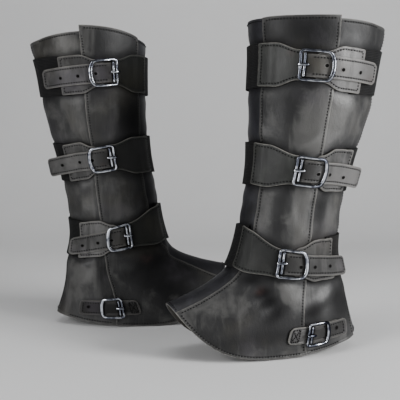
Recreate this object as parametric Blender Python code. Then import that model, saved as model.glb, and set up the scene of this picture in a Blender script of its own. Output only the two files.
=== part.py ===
"""A pair of tall leather spats, buckled round the leg above the shoe.

Each spat has three leather panels: an inner panel, an outer front panel lapped over it down the
shin and over the instep, and an outer rear panel under the free closure edge. Three elastic bands
with leather wings and buckles hold the leg, and a short strap with a small buckle holds the hem.
The right spat mirrors the left, turned and worn a little differently.

Lengths in the tables are millimetres and angles are degrees. Angle 0 is the front of the leg,
90 its outer side and 180 its back. Row 0 is the rim and row 8 the hem. Heights are above the
ground that the wearer stands on. The model's origin is the left ankle, where the leg holds it.
"""

import math
from collections import namedtuple

import bmesh
import bpy
from mathutils import Vector

MM = 0.001

# Sheet thicknesses and the gaps between pieces.
LEATHER = 2.2
ELASTIC = 1.8
SEAM_GAP = 0.3
STRAP_GAP = 0.7  # under straps and between the layers of a folded tongue
LAYER = LEATHER + SEAM_GAP

# How far the panels reach under each other, in degrees, and the ramps beside the laps.
FRONT_LAP = 8
CLOSURE_LAP = 18
BACK_LAP = 8
RAMP = 13
RAMP_MARGIN = 3
BAND_TUCK = 9  # how far the elastic reaches under the leather wings

# Straps and their narrow ends, as half widths.
BAND_HALF = 26
WING_HALF = 25
WING_NECK_HALF = 17
REAR_NECK_HALF = 17.5
TONGUE_HALF = 12.5
HEM_STRAP_HALF = 10

# A tongue's tip narrows over its last degrees, by this much a side.
TIP_ROUND = 5
TIP_NARROWING = 4
TIP_INSET = 2
TAB_ROUND = 4
TAB_END_SHARE = 0.6

# A tongue folds back this far past the hinge bar, and lifts off the leg towards its tip.
FOLD_AHEAD = 8.6
FOLD_TURNS = (-50, 0, 50)
LIFT_LEAD = 15
BAR_OVERRUN = 2

# Degrees from the bow where the rear wing widens, from the tongue's width to the wing's neck and
# from the neck to the whole wing.
NECK_START, NECK_END, WING_END = -16, -7, 9

# The stretched band stands off the shin, from the front wing's end to the inner side.
SHIN_STAND_OFF = 1.6
SHIN_START, SHIN_FULL = 2, -12
INNER_SIDE_START, INNER_SIDE_FULL = -100, -40

# Buckles: wire radius, half height of the frame's centre line, distance between the two bars.
WIRE = 1.75
FRAME_HALF = 16.2
HEM_FRAME_HALF = 12.8
BAR_PITCH = 4.2
BAR_WIRE = 1.5
BAR_CLEARANCE = 1.1
BAR_LIFT = 0.2
PRONG_WIRE = 1.2
PRONG_TIP_SHARE = 0.7

# The prong, from over the hinge bar to its tip: distance from the hinge bar, and lift.
PRONG_ROUTE = ((-2.4, -1.0), (0.0, 0.2), (BAR_PITCH, 0.2), (7.5, -0.3), (10.5, -0.8))

# The buckle's D from its hinge bar (share 0) to its bow (share 1), as shares of the half height.
FRAME_OUTLINE = (
    (0.0, -0.5),
    (0.0, 0.5),
    (0.0, 0.86),
    (0.09, 1.0),
    (0.35, 1.0),
    (0.65, 0.99),
    (0.86, 0.92),
    (0.96, 0.62),
    (1.0, 0.22),
)
BOW_RISE_START, BOW_RISE_END = 0.1, 0.6

# The toe end of the hem is blunter than an ellipse, and the hem rises late towards the instep.
FOOT_SQUARENESS = 2.3
FOOT_START_ROW = 3
FRONT_RISE_POWER = 2.75

# The mesh: rows from rim to hem, closer together round the ankle and foot, and columns.
LEG_ROWS = 8
FOOT_ROWS = 12
FOOT_MESH_ROW = 4
INNER_COLUMNS = 17
FRONT_COLUMNS = 6
REAR_COLUMNS = 3
BAND_COLUMNS = 18
BACK_COLUMNS = 6
WING_COLUMNS = 8
STRAP_COLUMNS = 9
TAB_COLUMNS = 5
HEM_COLUMNS = 4
STRIP_ROWS = 3
WIRE_SIDES = 6
SHARP_ANGLE = 40

# Small steps along the form, for its directions: in degrees and in rows.
ANGLE_STEP = 0.5
ROW_STEP = 0.05
HEIGHT_HALVINGS = 24

# An open wire's sections start from this direction, which no open wire runs along.
OPEN_WIRE_ASIDE = Vector((0.3, 0.9, 0.3))

# Heights above the ground of the ankle, where the origin is, and of the point that a spat leans at.
ANKLE_HEIGHT = 150
LEAN_PIVOT = 130

Section = namedtuple("Section", "z_side z_front z_back y_front y_back half_width")
Strap = namedtuple(
    "Strap", "front_end front_z bar bar_z neck bow rear_end rear_z tip tip_z lift"
)
HemStrap = namedtuple("HemStrap", "tab_end bar bar_z bow root tip tip_z")
Station = namedtuple("Station", "angle_a off_a angle_b off_b low high")

LEFT_SECTIONS = (
    Section(421, 424, 414, 42, -121.5, 65.5),
    Section(380, 385, 381, 39, -112.5, 65.5),
    Section(318, 322, 321, 42, -100.5, 61.5),
    Section(260, 265, 261, 43, -80, 52),
    Section(200, 209, 200, 51, -64.5, 45),
    Section(150, 163, 151, 60, -59.5, 43.5),
    Section(108, 125, 113, 76.5, -68, 45.5),
    Section(69, 102, 80, 115, -78, 50),
    Section(27, 88, 44, 152.5, -88.5, 50),
)
RIGHT_SECTIONS = (
    Section(425, 415, 413, 36, -117, 65.5),
    Section(381, 381, 380, 36, -107.5, 65.5),
    Section(318, 321, 320, 37, -96.5, 61.5),
    Section(260, 266, 260, 41, -79, 52),
    Section(200, 211, 200, 51.5, -67, 45),
    Section(150, 164, 151, 60, -61, 43.5),
    Section(109, 127, 113, 75, -67, 45.5),
    Section(69, 109, 77, 115, -72, 50),
    Section(26, 100, 40, 155, -83, 50),
)

# One row for each strap, from the calf down.
LEFT_STRAPS = (
    Strap(18, 370, 57, 368, 22, 84.5, 114, 362, 131, 360.5, 0),
    Strap(16, 255.5, 66, 249, 32, 97, 133, 248, 145.5, 241.5, 7),
    Strap(13.5, 156, 66, 139, 42, 94, 129, 141.5, 144, 130, 2),
)
RIGHT_STRAPS = (
    Strap(26, 370, 65, 371.5, 22, 92, 123, 366.5, 145, 363, 0),
    Strap(24, 262, 78, 259.5, 28, 107, 142, 251, 165, 247, 9),
    Strap(18, 167, 75, 151, 38, 101, 139, 143.5, 152, 133, 2),
)

Spat = namedtuple(
    "Spat",
    "name sections seam closure back rim_rise straps hem_strap mirror centre turn lean_forward lean_out",
)

LEFT = Spat(
    name="left",
    sections=LEFT_SECTIONS,
    seam=(21, 20, 19, 24, 29, 28, 23.5, 20.5, 17.5),
    closure=(89, 88, 88, 92, 97, 98, 95, 99, 104),
    back=152,
    rim_rise=3.5,
    straps=LEFT_STRAPS,
    hem_strap=HemStrap(91, 102, 53, 118, 131, 137, 57),
    mirror=-1,
    centre=(0, 0),
    turn=18,
    lean_forward=0.02,
    lean_out=0.02,
)
RIGHT = Spat(
    name="right",
    sections=RIGHT_SECTIONS,
    seam=(34, 34, 34, 38, 42, 36, 26, 24, 23),
    closure=(98, 98, 100, 103, 108, 108, 104, 104, 105),
    back=168,
    rim_rise=8,
    straps=RIGHT_STRAPS,
    hem_strap=HemStrap(89, 99, 52.5, 115, 129, 135, 51.5),
    mirror=1,
    centre=(-224, 156),
    turn=6,
    lean_forward=0.01,
    lean_out=-0.01,
)

# Name: (colour, roughness, metallic).
FINISHES = {
    "panel_leather": ((0.055, 0.055, 0.053), 0.45, 0.0),
    "strap_leather": ((0.085, 0.085, 0.083), 0.5, 0.0),
    "elastic": ((0.012, 0.012, 0.013), 0.85, 0.0),
    "steel": ((0.35, 0.37, 0.4), 0.2, 1.0),
}


def clear_scene():
    for thing in list(bpy.data.objects):
        bpy.data.objects.remove(thing)


def finish(name):
    """The named Principled material, made once."""
    material = bpy.data.materials.get(name)
    if material is None:
        colour, roughness, metallic = FINISHES[name]
        material = bpy.data.materials.new(name)
        material.use_nodes = True
        shader = material.node_tree.nodes["Principled BSDF"]
        shader.inputs["Base Color"].default_value = (*colour, 1)
        shader.inputs["Roughness"].default_value = roughness
        shader.inputs["Metallic"].default_value = metallic
    return material


def mix(a, b, t):
    return a + (b - a) * t


def ease(start, end, value):
    """0 before start, 1 after end, and a smooth step between."""
    t = min(max((value - start) / (end - start), 0.0), 1.0)
    return t * t * (3 - 2 * t)


def spread(start, end, count):
    """count + 1 values from start to end."""
    return [mix(start, end, k / count) for k in range(count + 1)]


def slope(values, k):
    """A slope at value k that keeps the curve through the values free of overshoot."""
    if k == 0:
        return values[1] - values[0]
    if k == len(values) - 1:
        return values[k] - values[k - 1]
    before = values[k] - values[k - 1]
    after = values[k + 1] - values[k]
    if before * after <= 0:
        return 0.0
    return 2 * before * after / (before + after)


def through(values, row):
    """The smooth curve through evenly spaced values, read at a row that needn't be whole."""
    k = min(int(row), len(values) - 2)
    t = row - k
    t2 = t * t
    t3 = t2 * t
    return (
        (2 * t3 - 3 * t2 + 1) * values[k]
        + (t3 - 2 * t2 + t) * slope(values, k)
        + (3 * t2 - 2 * t3) * values[k + 1]
        + (t3 - t2) * slope(values, k + 1)
    )


def rounded(value, power):
    """value with its size raised to a power and its sign kept."""
    return math.copysign(abs(value) ** power, value)


def bare_point(spat, angle, row):
    """A point of the leg and foot form: x outwards, y towards the toe, z up."""
    columns = zip(*spat.sections)
    section = Section(*[through(values, row) for values in columns])
    turn = math.radians(angle)
    last = len(spat.sections) - 1
    foot = max(row - FOOT_START_ROW, 0) / (last - FOOT_START_ROW)
    power = 2 / mix(2, FOOT_SQUARENESS, foot)
    forward = rounded(math.cos(turn), power)
    outward = rounded(math.sin(turn), power)
    middle = (section.y_front + section.y_back) / 2
    reach = (section.y_front - section.y_back) / 2
    if forward > 0:
        end, rise = section.z_front, abs(math.cos(turn)) ** FRONT_RISE_POWER
    else:
        end, rise = section.z_back, math.cos(turn) ** 2
    return Vector(
        (
            section.half_width * outward,
            middle + reach * forward,
            mix(section.z_side, end, rise),
        )
    )


def form_point(spat, angle, row, out=0.0):
    """A point of the form moved out along its normal."""
    above, below = max(row - ROW_STEP, 0), min(row + ROW_STEP, len(spat.sections) - 1)
    along = bare_point(spat, angle + ANGLE_STEP, row) - bare_point(spat, angle - ANGLE_STEP, row)
    down = bare_point(spat, angle, below) - bare_point(spat, angle, above)
    normal = along.cross(down).normalized()
    return bare_point(spat, angle, row) + normal * out


def row_at(spat, angle, height):
    """The row whose height at this angle is the given one."""
    low, high = 0.0, float(len(spat.sections) - 1)
    for _ in range(HEIGHT_HALVINGS):
        middle = (low + high) / 2
        if bare_point(spat, angle, middle).z > height:
            low = middle
        else:
            high = middle
    return (low + high) / 2


def point_at(spat, angle, height, out):
    return form_point(spat, angle, row_at(spat, angle, height), out)


def degree_length(spat, angle, height, out):
    """The distance round the form in a degree."""
    return (point_at(spat, angle + 1, height, out) - point_at(spat, angle, height, out)).length


def world(spat, local):
    """A spat's own point, placed beside the other one, in metres from the left ankle."""
    forward = local.y + spat.lean_forward * (local.z - LEAN_PIVOT)
    outward = local.x + spat.lean_out * (local.z - LEAN_PIVOT)
    turn = math.radians(spat.turn)
    toe = Vector((math.cos(turn), math.sin(turn), 0)) * spat.mirror
    side = Vector((math.sin(turn), -math.cos(turn), 0))
    place = Vector((*spat.centre, local.z - ANKLE_HEIGHT)) + toe * forward + side * outward
    return place * MM


def add_object(name, vertices, faces, material):
    """One closed body, its faces pointing out, shaded smooth between sharp edges."""
    mesh = bpy.data.meshes.new(name)
    mesh.from_pydata(vertices, [], faces)
    body = bmesh.new()
    body.from_mesh(mesh)
    bmesh.ops.recalc_face_normals(body, faces=body.faces)
    body.to_mesh(mesh)
    body.free()
    mesh.materials.append(finish(material))
    mesh.shade_smooth()
    mesh.set_sharp_from_angle(angle=math.radians(SHARP_ANGLE))
    thing = bpy.data.objects.new(name, mesh)
    bpy.context.scene.collection.objects.link(thing)
    return thing


def add_sheet(name, spat, face_a, face_b, material):
    """A wall between two grids of points, closed round its edge."""
    rows, columns = len(face_a), len(face_a[0])
    vertices = [world(spat, point) for grid in (face_a, face_b) for row in grid for point in row]

    def index(grid, row, column):
        return (grid * rows + row) * columns + column

    faces = []
    for row in range(rows - 1):
        for column in range(columns - 1):
            for grid in (0, 1):
                here, right = index(grid, row, column), index(grid, row, column + 1)
                under, across = index(grid, row + 1, column), index(grid, row + 1, column + 1)
                faces += [[here, right, across], [here, across, under]]
    border = [(0, column) for column in range(columns)]
    border += [(row, columns - 1) for row in range(1, rows)]
    border += [(rows - 1, column) for column in range(columns - 2, -1, -1)]
    border += [(row, 0) for row in range(rows - 2, 0, -1)]
    for here, there in zip(border, border[1:] + border[:1]):
        faces.append([index(0, *here), index(0, *there), index(1, *there), index(1, *here)])
    return add_object(name, vertices, faces, material)


def add_tube(name, spat, points, radii, closed, material):
    """A wire along points in the spat's own space, closed into a ring or with flat ends."""
    count = len(points)
    centre = sum(points, Vector()) / count
    vertices = []
    for k, point in enumerate(points):
        before = points[k - 1] if closed or k > 0 else point
        after = points[(k + 1) % count] if closed or k < count - 1 else point
        along = (after - before).normalized()
        aside = point - centre if closed else OPEN_WIRE_ASIDE
        across = along.cross(aside).normalized()
        other = along.cross(across)
        for side in range(WIRE_SIDES):
            turn = 2 * math.pi * side / WIRE_SIDES
            spoke = across * math.cos(turn) + other * math.sin(turn)
            vertices.append(world(spat, point + spoke * radii[k]))
    faces = []
    for k in range(count if closed else count - 1):
        here, there = k * WIRE_SIDES, (k + 1) % count * WIRE_SIDES
        for side in range(WIRE_SIDES):
            turned = (side + 1) % WIRE_SIDES
            faces.append([here + side, here + turned, there + turned, there + side])
    if not closed:
        faces.append(list(range(WIRE_SIDES)))
        faces.append([(count - 1) * WIRE_SIDES + side for side in range(WIRE_SIDES)])
    return add_object(name, vertices, faces, material)


def add_panel(name, spat, angles_at, out_at, rise_at):
    """A leather panel from rim to hem: angles_at(row) gives its columns on that row.

    out_at gives how far it stands out, and rise_at how far its rim rises at a share of its width.
    """
    last = len(spat.sections) - 1
    inner, outer = [], []
    leg_rows = spread(0, FOOT_MESH_ROW, LEG_ROWS)
    for row in leg_rows[:-1] + spread(FOOT_MESH_ROW, last, FOOT_ROWS):
        angles = angles_at(row)
        start, end = angles[0], angles[-1]
        for grid, thickness in ((inner, 0.0), (outer, LEATHER)):
            points = [
                form_point(spat, angle, row, out_at(row, angle) + thickness) for angle in angles
            ]
            if row == 0:
                for angle, point in zip(angles, points):
                    point.z += rise_at((angle - start) / (end - start))
            grid.append(points)
    return add_sheet(name, spat, inner, outer, "panel_leather")


def add_panels(spat):
    def seam(row):
        return through(spat.seam, row)

    def closure(row):
        return through(spat.closure, row)

    def front_angles(row):
        start, end = seam(row), closure(row)
        middle = spread(start + FRONT_LAP, end - CLOSURE_LAP, FRONT_COLUMNS)
        return [start, *middle, end]

    def rear_angles(row):
        start = closure(row) - CLOSURE_LAP
        lap = spat.back - BACK_LAP
        middle = spread(closure(row), lap - RAMP, REAR_COLUMNS)
        return [start, *middle, lap, spat.back]

    def rear_out(row, angle):
        lap = spat.back - BACK_LAP
        return LAYER * ease(lap - RAMP, lap, angle)

    def inner_angles(row):
        lap = spat.back - BACK_LAP - 360
        middle = spread(spat.back - 360, seam(row), INNER_COLUMNS)
        return [lap, *middle, seam(row) + FRONT_LAP]

    def inner_out(row, angle):
        return 0.0

    def front_out(row, angle):
        return LAYER

    def front_rise(share):
        return spat.rim_rise * math.sqrt(share)

    def level(share):
        return 0.0

    add_panel(f"{spat.name}_outer_front_panel", spat, front_angles, front_out, front_rise)
    add_panel(f"{spat.name}_outer_rear_panel", spat, rear_angles, rear_out, level)
    add_panel(f"{spat.name}_inner_panel", spat, inner_angles, inner_out, level)


def body_top(spat, angle, row):
    """How far the panels' outer face stands out, laps included, with ramps beside the laps."""
    angle = (angle + 180) % 360 - 180
    if angle < spat.back - 360 + RAMP_MARGIN + RAMP:
        angle += 360
    seam, closure = through(spat.seam, row), through(spat.closure, row)
    front = ease(seam - RAMP_MARGIN - RAMP, seam - RAMP_MARGIN, angle)
    front -= ease(closure + RAMP_MARGIN, closure + RAMP_MARGIN + RAMP, angle)
    lap = spat.back - BACK_LAP - RAMP_MARGIN
    back = ease(lap - RAMP, lap, angle)
    back -= ease(spat.back + RAMP_MARGIN, spat.back + RAMP_MARGIN + RAMP, angle)
    return LEATHER + LAYER * max(front, back)


def strap_out(spat, angle, height):
    """How far the underside of a strap stands out."""
    return body_top(spat, angle, row_at(spat, angle, height)) + STRAP_GAP


def add_strip(name, spat, stations, material):
    """A strap through its stations, each with a low and a high edge and two faces."""
    face_a, face_b = [], []
    for station in stations:
        heights = spread(station.low, station.high, STRIP_ROWS)
        face_a.append([point_at(spat, station.angle_a, z, station.off_a) for z in heights])
        face_b.append([point_at(spat, station.angle_b, z, station.off_b) for z in heights])
    return add_sheet(name, spat, face_a, face_b, material)


def flat_station(angle, centre, half, under, thickness):
    return Station(angle, under, angle, under + thickness, centre - half, centre + half)


def add_band(spat, number, strap):
    """The elastic, from under the front wing round the inner side to under the rear wing."""
    start = strap.front_end + BAND_TUCK
    end = strap.rear_end - BAND_TUCK - 360
    past_back = spat.back + RAMP_MARGIN - 360
    angles = [*spread(start, past_back + RAMP, BAND_COLUMNS), *spread(past_back, end, BACK_COLUMNS)]
    stations = []
    for angle in angles:
        centre = mix(strap.front_z, strap.rear_z, (angle - start) / (end - start))
        under = strap_out(spat, angle, centre)
        away = ease(strap.front_end + SHIN_START, strap.front_end + SHIN_FULL, angle)
        away *= ease(INNER_SIDE_START, INNER_SIDE_FULL, angle)
        under += SHIN_STAND_OFF * away
        stations.append(flat_station(angle, centre, BAND_HALF, under, ELASTIC))
    add_strip(f"{spat.name}_strap{number}_elastic", spat, stations, "elastic")


def add_front_wing(spat, number, strap):
    """The leather from the elastic's front end to the buckle's bars, where it narrows."""
    stations = []
    for angle in spread(strap.front_end, strap.bar + BAR_OVERRUN, WING_COLUMNS):
        share = (angle - strap.front_end) / (strap.bar - strap.front_end)
        centre = mix(strap.front_z, strap.bar_z, share)
        half = mix(WING_HALF, WING_NECK_HALF, ease(strap.bar - strap.neck, strap.bar - 1, angle))
        tuck = 1 - ease(strap.front_end + BAND_TUCK + 3, strap.front_end + 2 * BAND_TUCK + 2, angle)
        under = strap_out(spat, angle, centre) + (ELASTIC + STRAP_GAP) * tuck
        stations.append(flat_station(angle, centre, half, under, LEATHER))
    add_strip(f"{spat.name}_strap{number}_front_wing", spat, stations, "strap_leather")


def fold_angle(spat, bar, bar_z):
    return bar + FOLD_AHEAD / degree_length(spat, bar, bar_z, LEATHER)


def fold_stations(spat, angle, centre, half, under):
    """A half turn of the strap round itself: face a outside, face b inside."""
    middle = under + LEATHER + STRAP_GAP / 2
    per_degree = degree_length(spat, angle, centre, middle)
    stations = []
    for turn in FOLD_TURNS:
        reach = math.cos(math.radians(turn)) / per_degree
        lift = math.sin(math.radians(turn))
        outside, inside = LEATHER + STRAP_GAP / 2, STRAP_GAP / 2
        stations.append(
            Station(
                angle - outside * reach,
                middle + outside * lift,
                angle - inside * reach,
                middle + inside * lift,
                centre - half,
                centre + half,
            )
        )
    return stations


def add_folded_strap(name, spat, lower, upper):
    """A strap that runs to the bar, folds back over itself and ends in a rounded tongue.

    lower and upper are lists of (angle, centre, half width, underside) that meet at the fold.
    """
    stations = []
    for angle, centre, half, under in lower:
        low, high = centre - half, centre + half
        stations.append(Station(angle, under, angle, under + LEATHER, low, high))
    stations += fold_stations(spat, *upper[0])
    raised = LEATHER + STRAP_GAP
    for angle, centre, half, under in upper:
        under += raised
        low, high = centre - half, centre + half
        stations.append(Station(angle, under + LEATHER, angle, under, low, high))
    add_strip(name, spat, stations, "strap_leather")


def tongue_half(half, end, angle):
    """The half width of a strap that narrows into a rounded end."""
    return half - TIP_NARROWING * ease(end - TIP_ROUND, end, angle) ** 2


def add_rear_strap(spat, number, strap):
    """The rear wing and tongue in one piece, folded at the bar."""
    fold = fold_angle(spat, strap.bar, strap.bar_z)
    neck = strap.bow + NECK_END

    def lower_at(angle):
        share = (angle - strap.bar) / (strap.rear_end - strap.bar)
        centre = mix(strap.bar_z, strap.rear_z, share)
        half = mix(REAR_NECK_HALF, WING_HALF, ease(neck, strap.bow + WING_END, angle))
        half = mix(TONGUE_HALF, half, ease(strap.bow + NECK_START, neck, angle))
        tuck = ease(strap.rear_end - 2 * BAND_TUCK, strap.rear_end - BAND_TUCK - 2, angle)
        under = strap_out(spat, angle, centre) + (ELASTIC + STRAP_GAP) * tuck
        return angle, centre, half, under

    def upper_at(angle):
        share = (angle - strap.bar) / (strap.tip - strap.bar)
        centre = mix(strap.bar_z, strap.tip_z, share)
        half = tongue_half(TONGUE_HALF, strap.tip, angle)
        past = strap_out(spat, angle, centre) + ELASTIC + STRAP_GAP
        under = lower_at(angle)[3] if angle < strap.rear_end else past
        under += strap.lift * ease(strap.rear_end - LIFT_LEAD, strap.tip, angle)
        return angle, centre, half, under

    lower = [lower_at(angle) for angle in spread(strap.rear_end, fold, STRAP_COLUMNS)]
    body = spread(fold, strap.tip - TIP_ROUND, STRAP_COLUMNS)
    upper = [upper_at(angle) for angle in [*body, strap.tip - TIP_INSET, strap.tip]]
    lower[-1] = upper[0]
    add_folded_strap(f"{spat.name}_strap{number}_rear_strap", spat, lower, upper)


def frame_outline(half):
    """The D of a buckle's frame as (share from bar to bow, height) pairs, with round corners."""
    upper = [(share, height * half) for share, height in FRAME_OUTLINE]
    return upper + [(share, -height) for share, height in upper[::-1][:-2]]


def add_buckle(name, spat, bar, bar_z, bow, bow_z, half, out_at):
    """The frame, its inner bar and its prong, over the strap: out_at(angle) is their underside."""
    frame_points = []
    for share, height in frame_outline(half):
        angle = mix(bar, bow, share)
        rise = (LEATHER + STRAP_GAP) * ease(BOW_RISE_START, BOW_RISE_END, share)
        out = out_at(angle) + LEATHER + STRAP_GAP + WIRE + rise
        frame_points.append(point_at(spat, angle, mix(bar_z, bow_z, share) + height, out))
    radii = [WIRE] * len(frame_points)
    add_tube(f"{name}_frame", spat, frame_points, radii, True, "steel")

    bar_out = out_at(bar) + LEATHER + STRAP_GAP + WIRE
    per_degree = degree_length(spat, bar, bar_z, bar_out)
    inner_bar = bar + BAR_PITCH / per_degree
    reach = half - WIRE - BAR_CLEARANCE
    bar_points = [
        point_at(spat, inner_bar, bar_z + height, bar_out + BAR_LIFT)
        for height in (-reach, 0, reach)
    ]
    add_tube(f"{name}_bar", spat, bar_points, [BAR_WIRE] * 3, False, "steel")

    over = bar_out + WIRE + PRONG_WIRE + SEAM_GAP
    prong_points = [
        point_at(spat, bar + along / per_degree, bar_z, over + lift) for along, lift in PRONG_ROUTE
    ]
    prong_radii = [PRONG_WIRE] * (len(PRONG_ROUTE) - 1) + [PRONG_WIRE * PRONG_TIP_SHARE]
    add_tube(f"{name}_prong", spat, prong_points, prong_radii, False, "steel")


def add_strap_buckle(spat, number, strap):
    share = (strap.bow - strap.bar) / (strap.tip - strap.bar)
    bow_z = mix(strap.bar_z, strap.tip_z, share)

    def out_at(angle):
        return strap_out(spat, angle, strap.bar_z)

    name = f"{spat.name}_buckle{number}"
    add_buckle(name, spat, strap.bar, strap.bar_z, strap.bow, bow_z, FRAME_HALF, out_at)


def add_hem_strap(spat, hem):
    """The sewn tab, the small buckle and the folded tongue at the hem."""

    def out_at(angle):
        return strap_out(spat, angle, hem.bar_z)

    tab = []
    for angle in spread(hem.tab_end, hem.bar + BAR_OVERRUN, TAB_COLUMNS):
        rounding = ease(hem.tab_end, hem.tab_end + TAB_ROUND, angle)
        half = HEM_STRAP_HALF * mix(TAB_END_SHARE, 1, rounding)
        tab.append(flat_station(angle, hem.bar_z, half, out_at(angle), LEATHER))
    add_strip(f"{spat.name}_hem_tab", spat, tab, "strap_leather")

    fold = fold_angle(spat, hem.bar, hem.bar_z)

    def strap_at(angle, end):
        share = (angle - hem.bar) / (hem.tip - hem.bar)
        half = tongue_half(HEM_STRAP_HALF, end, angle)
        return angle, mix(hem.bar_z, hem.tip_z, share), half, out_at(angle)

    root_end = hem.root + TIP_ROUND
    lower = [strap_at(angle, root_end) for angle in spread(hem.root, fold, HEM_COLUMNS)]
    body = spread(fold, hem.tip - TIP_ROUND, HEM_COLUMNS)
    upper = [strap_at(angle, hem.tip) for angle in [*body, hem.tip - TIP_INSET, hem.tip]]
    add_folded_strap(f"{spat.name}_hem_tongue", spat, lower, upper)

    share = (hem.bow - hem.bar) / (hem.tip - hem.bar)
    bow_z = mix(hem.bar_z, hem.tip_z, share)
    name = f"{spat.name}_hem_buckle"
    add_buckle(name, spat, hem.bar, hem.bar_z, hem.bow, bow_z, HEM_FRAME_HALF, out_at)


def add_spat(spat):
    add_panels(spat)
    for number, strap in enumerate(spat.straps, start=1):
        add_band(spat, number, strap)
        add_front_wing(spat, number, strap)
        add_rear_strap(spat, number, strap)
        add_strap_buckle(spat, number, strap)
    add_hem_strap(spat, spat.hem_strap)


clear_scene()
for each in (LEFT, RIGHT):
    add_spat(each)
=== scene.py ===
"""The looks of a pair of tall leather spats: worn leather shells, stitching, elastic and buckles.

Every piece is made on the same leg form as its solid. Lengths are millimetres and angles are
degrees until a point is placed. Angle 0 is the front of the leg, 90 its outer side and 180 its
back. Row 0 is the rim and row 8 the hem. Heights are above the ground the wearer stands on.
"""

import math
from collections import namedtuple

import bpy
import numpy as np
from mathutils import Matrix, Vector


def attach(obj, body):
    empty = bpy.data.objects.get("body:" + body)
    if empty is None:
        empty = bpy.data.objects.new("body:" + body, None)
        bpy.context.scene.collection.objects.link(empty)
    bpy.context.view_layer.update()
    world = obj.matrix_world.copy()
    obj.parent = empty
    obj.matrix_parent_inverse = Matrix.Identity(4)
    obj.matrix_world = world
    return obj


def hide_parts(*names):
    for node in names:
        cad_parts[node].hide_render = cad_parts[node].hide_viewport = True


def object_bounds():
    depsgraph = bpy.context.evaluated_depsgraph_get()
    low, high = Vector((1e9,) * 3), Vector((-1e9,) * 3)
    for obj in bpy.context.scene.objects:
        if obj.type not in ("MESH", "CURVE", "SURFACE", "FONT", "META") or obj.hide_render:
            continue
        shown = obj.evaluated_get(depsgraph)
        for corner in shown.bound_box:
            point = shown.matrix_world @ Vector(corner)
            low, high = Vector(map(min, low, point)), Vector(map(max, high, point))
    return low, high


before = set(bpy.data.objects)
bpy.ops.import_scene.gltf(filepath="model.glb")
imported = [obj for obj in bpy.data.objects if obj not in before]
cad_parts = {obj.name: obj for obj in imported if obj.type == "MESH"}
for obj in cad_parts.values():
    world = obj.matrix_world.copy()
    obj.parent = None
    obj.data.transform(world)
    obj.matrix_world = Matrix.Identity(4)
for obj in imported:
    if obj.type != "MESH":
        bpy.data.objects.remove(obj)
cad_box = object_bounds()

MM = 0.001

# ---------------------------------------------------------------------------------------------
# The spats' sizes, as their solids have them.

LEATHER = 2.2
ELASTIC = 1.8
SEAM_GAP = 0.3
STRAP_GAP = 0.7
LAYER = LEATHER + SEAM_GAP
FRONT_LAP = 8
CLOSURE_LAP = 18
BACK_LAP = 8
RAMP = 13
RAMP_MARGIN = 3
BAND_TUCK = 9
BAND_HALF = 26
WING_HALF = 25
WING_NECK_HALF = 17
TONGUE_HALF = 12.5
HEM_STRAP_HALF = 10
SHIN_STAND_OFF = 1.6
WIRE = 1.75
FRAME_HALF = 16.2
HEM_FRAME_HALF = 12.8
BAR_PITCH = 4.2
FOLD_AHEAD = 8.6
FOOT_SQUARENESS = 2.3
FOOT_START_ROW = 3
FRONT_RISE_POWER = 2.75
ANKLE_HEIGHT = 150
LEAN_PIVOT = 130
LAST_ROW = 8
ROW_STEP = 0.05
ROW_HALVINGS = 22
# A degree round the form counts as this many millimetres where creases and stains are laid out.
CREASE_DEGREE = 1.15
STAIN_DEGREE = 1.1

Section = namedtuple("Section", "z_side z_front z_back y_front y_back half_width")
Strap = namedtuple(
    "Strap", "front_end front_z bar bar_z neck bow rear_end rear_z tip tip_z lift"
)
HemStrap = namedtuple("HemStrap", "tab_end bar bar_z bow root tip tip_z")
Crease = namedtuple("Crease", "angle_a z_a angle_b z_b width depth")
Stain = namedtuple("Stain", "angle z radius")
Patch = namedtuple("Patch", "angle z wide tall tone")
Spat = namedtuple(
    "Spat",
    "name sections seam closure back rim_rise straps hem_strap mirror centre turn "
    "lean_forward lean_out creases stains patches wing_tones rear_wing_tones strap_tones holes",
)

LEFT_SECTIONS = (
    Section(421, 424, 414, 42, -121.5, 65.5), Section(380, 385, 381, 39, -112.5, 65.5),
    Section(318, 322, 321, 42, -100.5, 61.5), Section(260, 265, 261, 43, -80, 52),
    Section(200, 209, 200, 51, -64.5, 45), Section(150, 163, 151, 60, -59.5, 43.5),
    Section(108, 125, 113, 76.5, -68, 45.5), Section(69, 102, 80, 115, -78, 50),
    Section(27, 88, 44, 152.5, -88.5, 50),
)
RIGHT_SECTIONS = (
    Section(425, 415, 413, 36, -117, 65.5), Section(381, 381, 380, 36, -107.5, 65.5),
    Section(318, 321, 320, 37, -96.5, 61.5), Section(260, 266, 260, 41, -79, 52),
    Section(200, 211, 200, 51.5, -67, 45), Section(150, 164, 151, 60, -61, 43.5),
    Section(109, 127, 113, 75, -67, 45.5), Section(69, 109, 77, 115, -72, 50),
    Section(26, 100, 40, 155, -83, 50),
)

# One row for each strap, from the calf down.
LEFT_STRAPS = (
    Strap(18, 370, 57, 368, 22, 84.5, 114, 362, 131, 360.5, 0),
    Strap(16, 255.5, 66, 249, 32, 97, 133, 248, 145.5, 241.5, 7),
    Strap(13.5, 156, 66, 139, 42, 94, 129, 141.5, 144, 130, 2),
)
RIGHT_STRAPS = (
    Strap(26, 370, 65, 371.5, 22, 92, 123, 366.5, 145, 363, 0),
    Strap(24, 262, 78, 259.5, 28, 107, 142, 251, 165, 247, 9),
    Strap(18, 167, 75, 151, 38, 101, 139, 143.5, 152, 133, 2),
)

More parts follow.
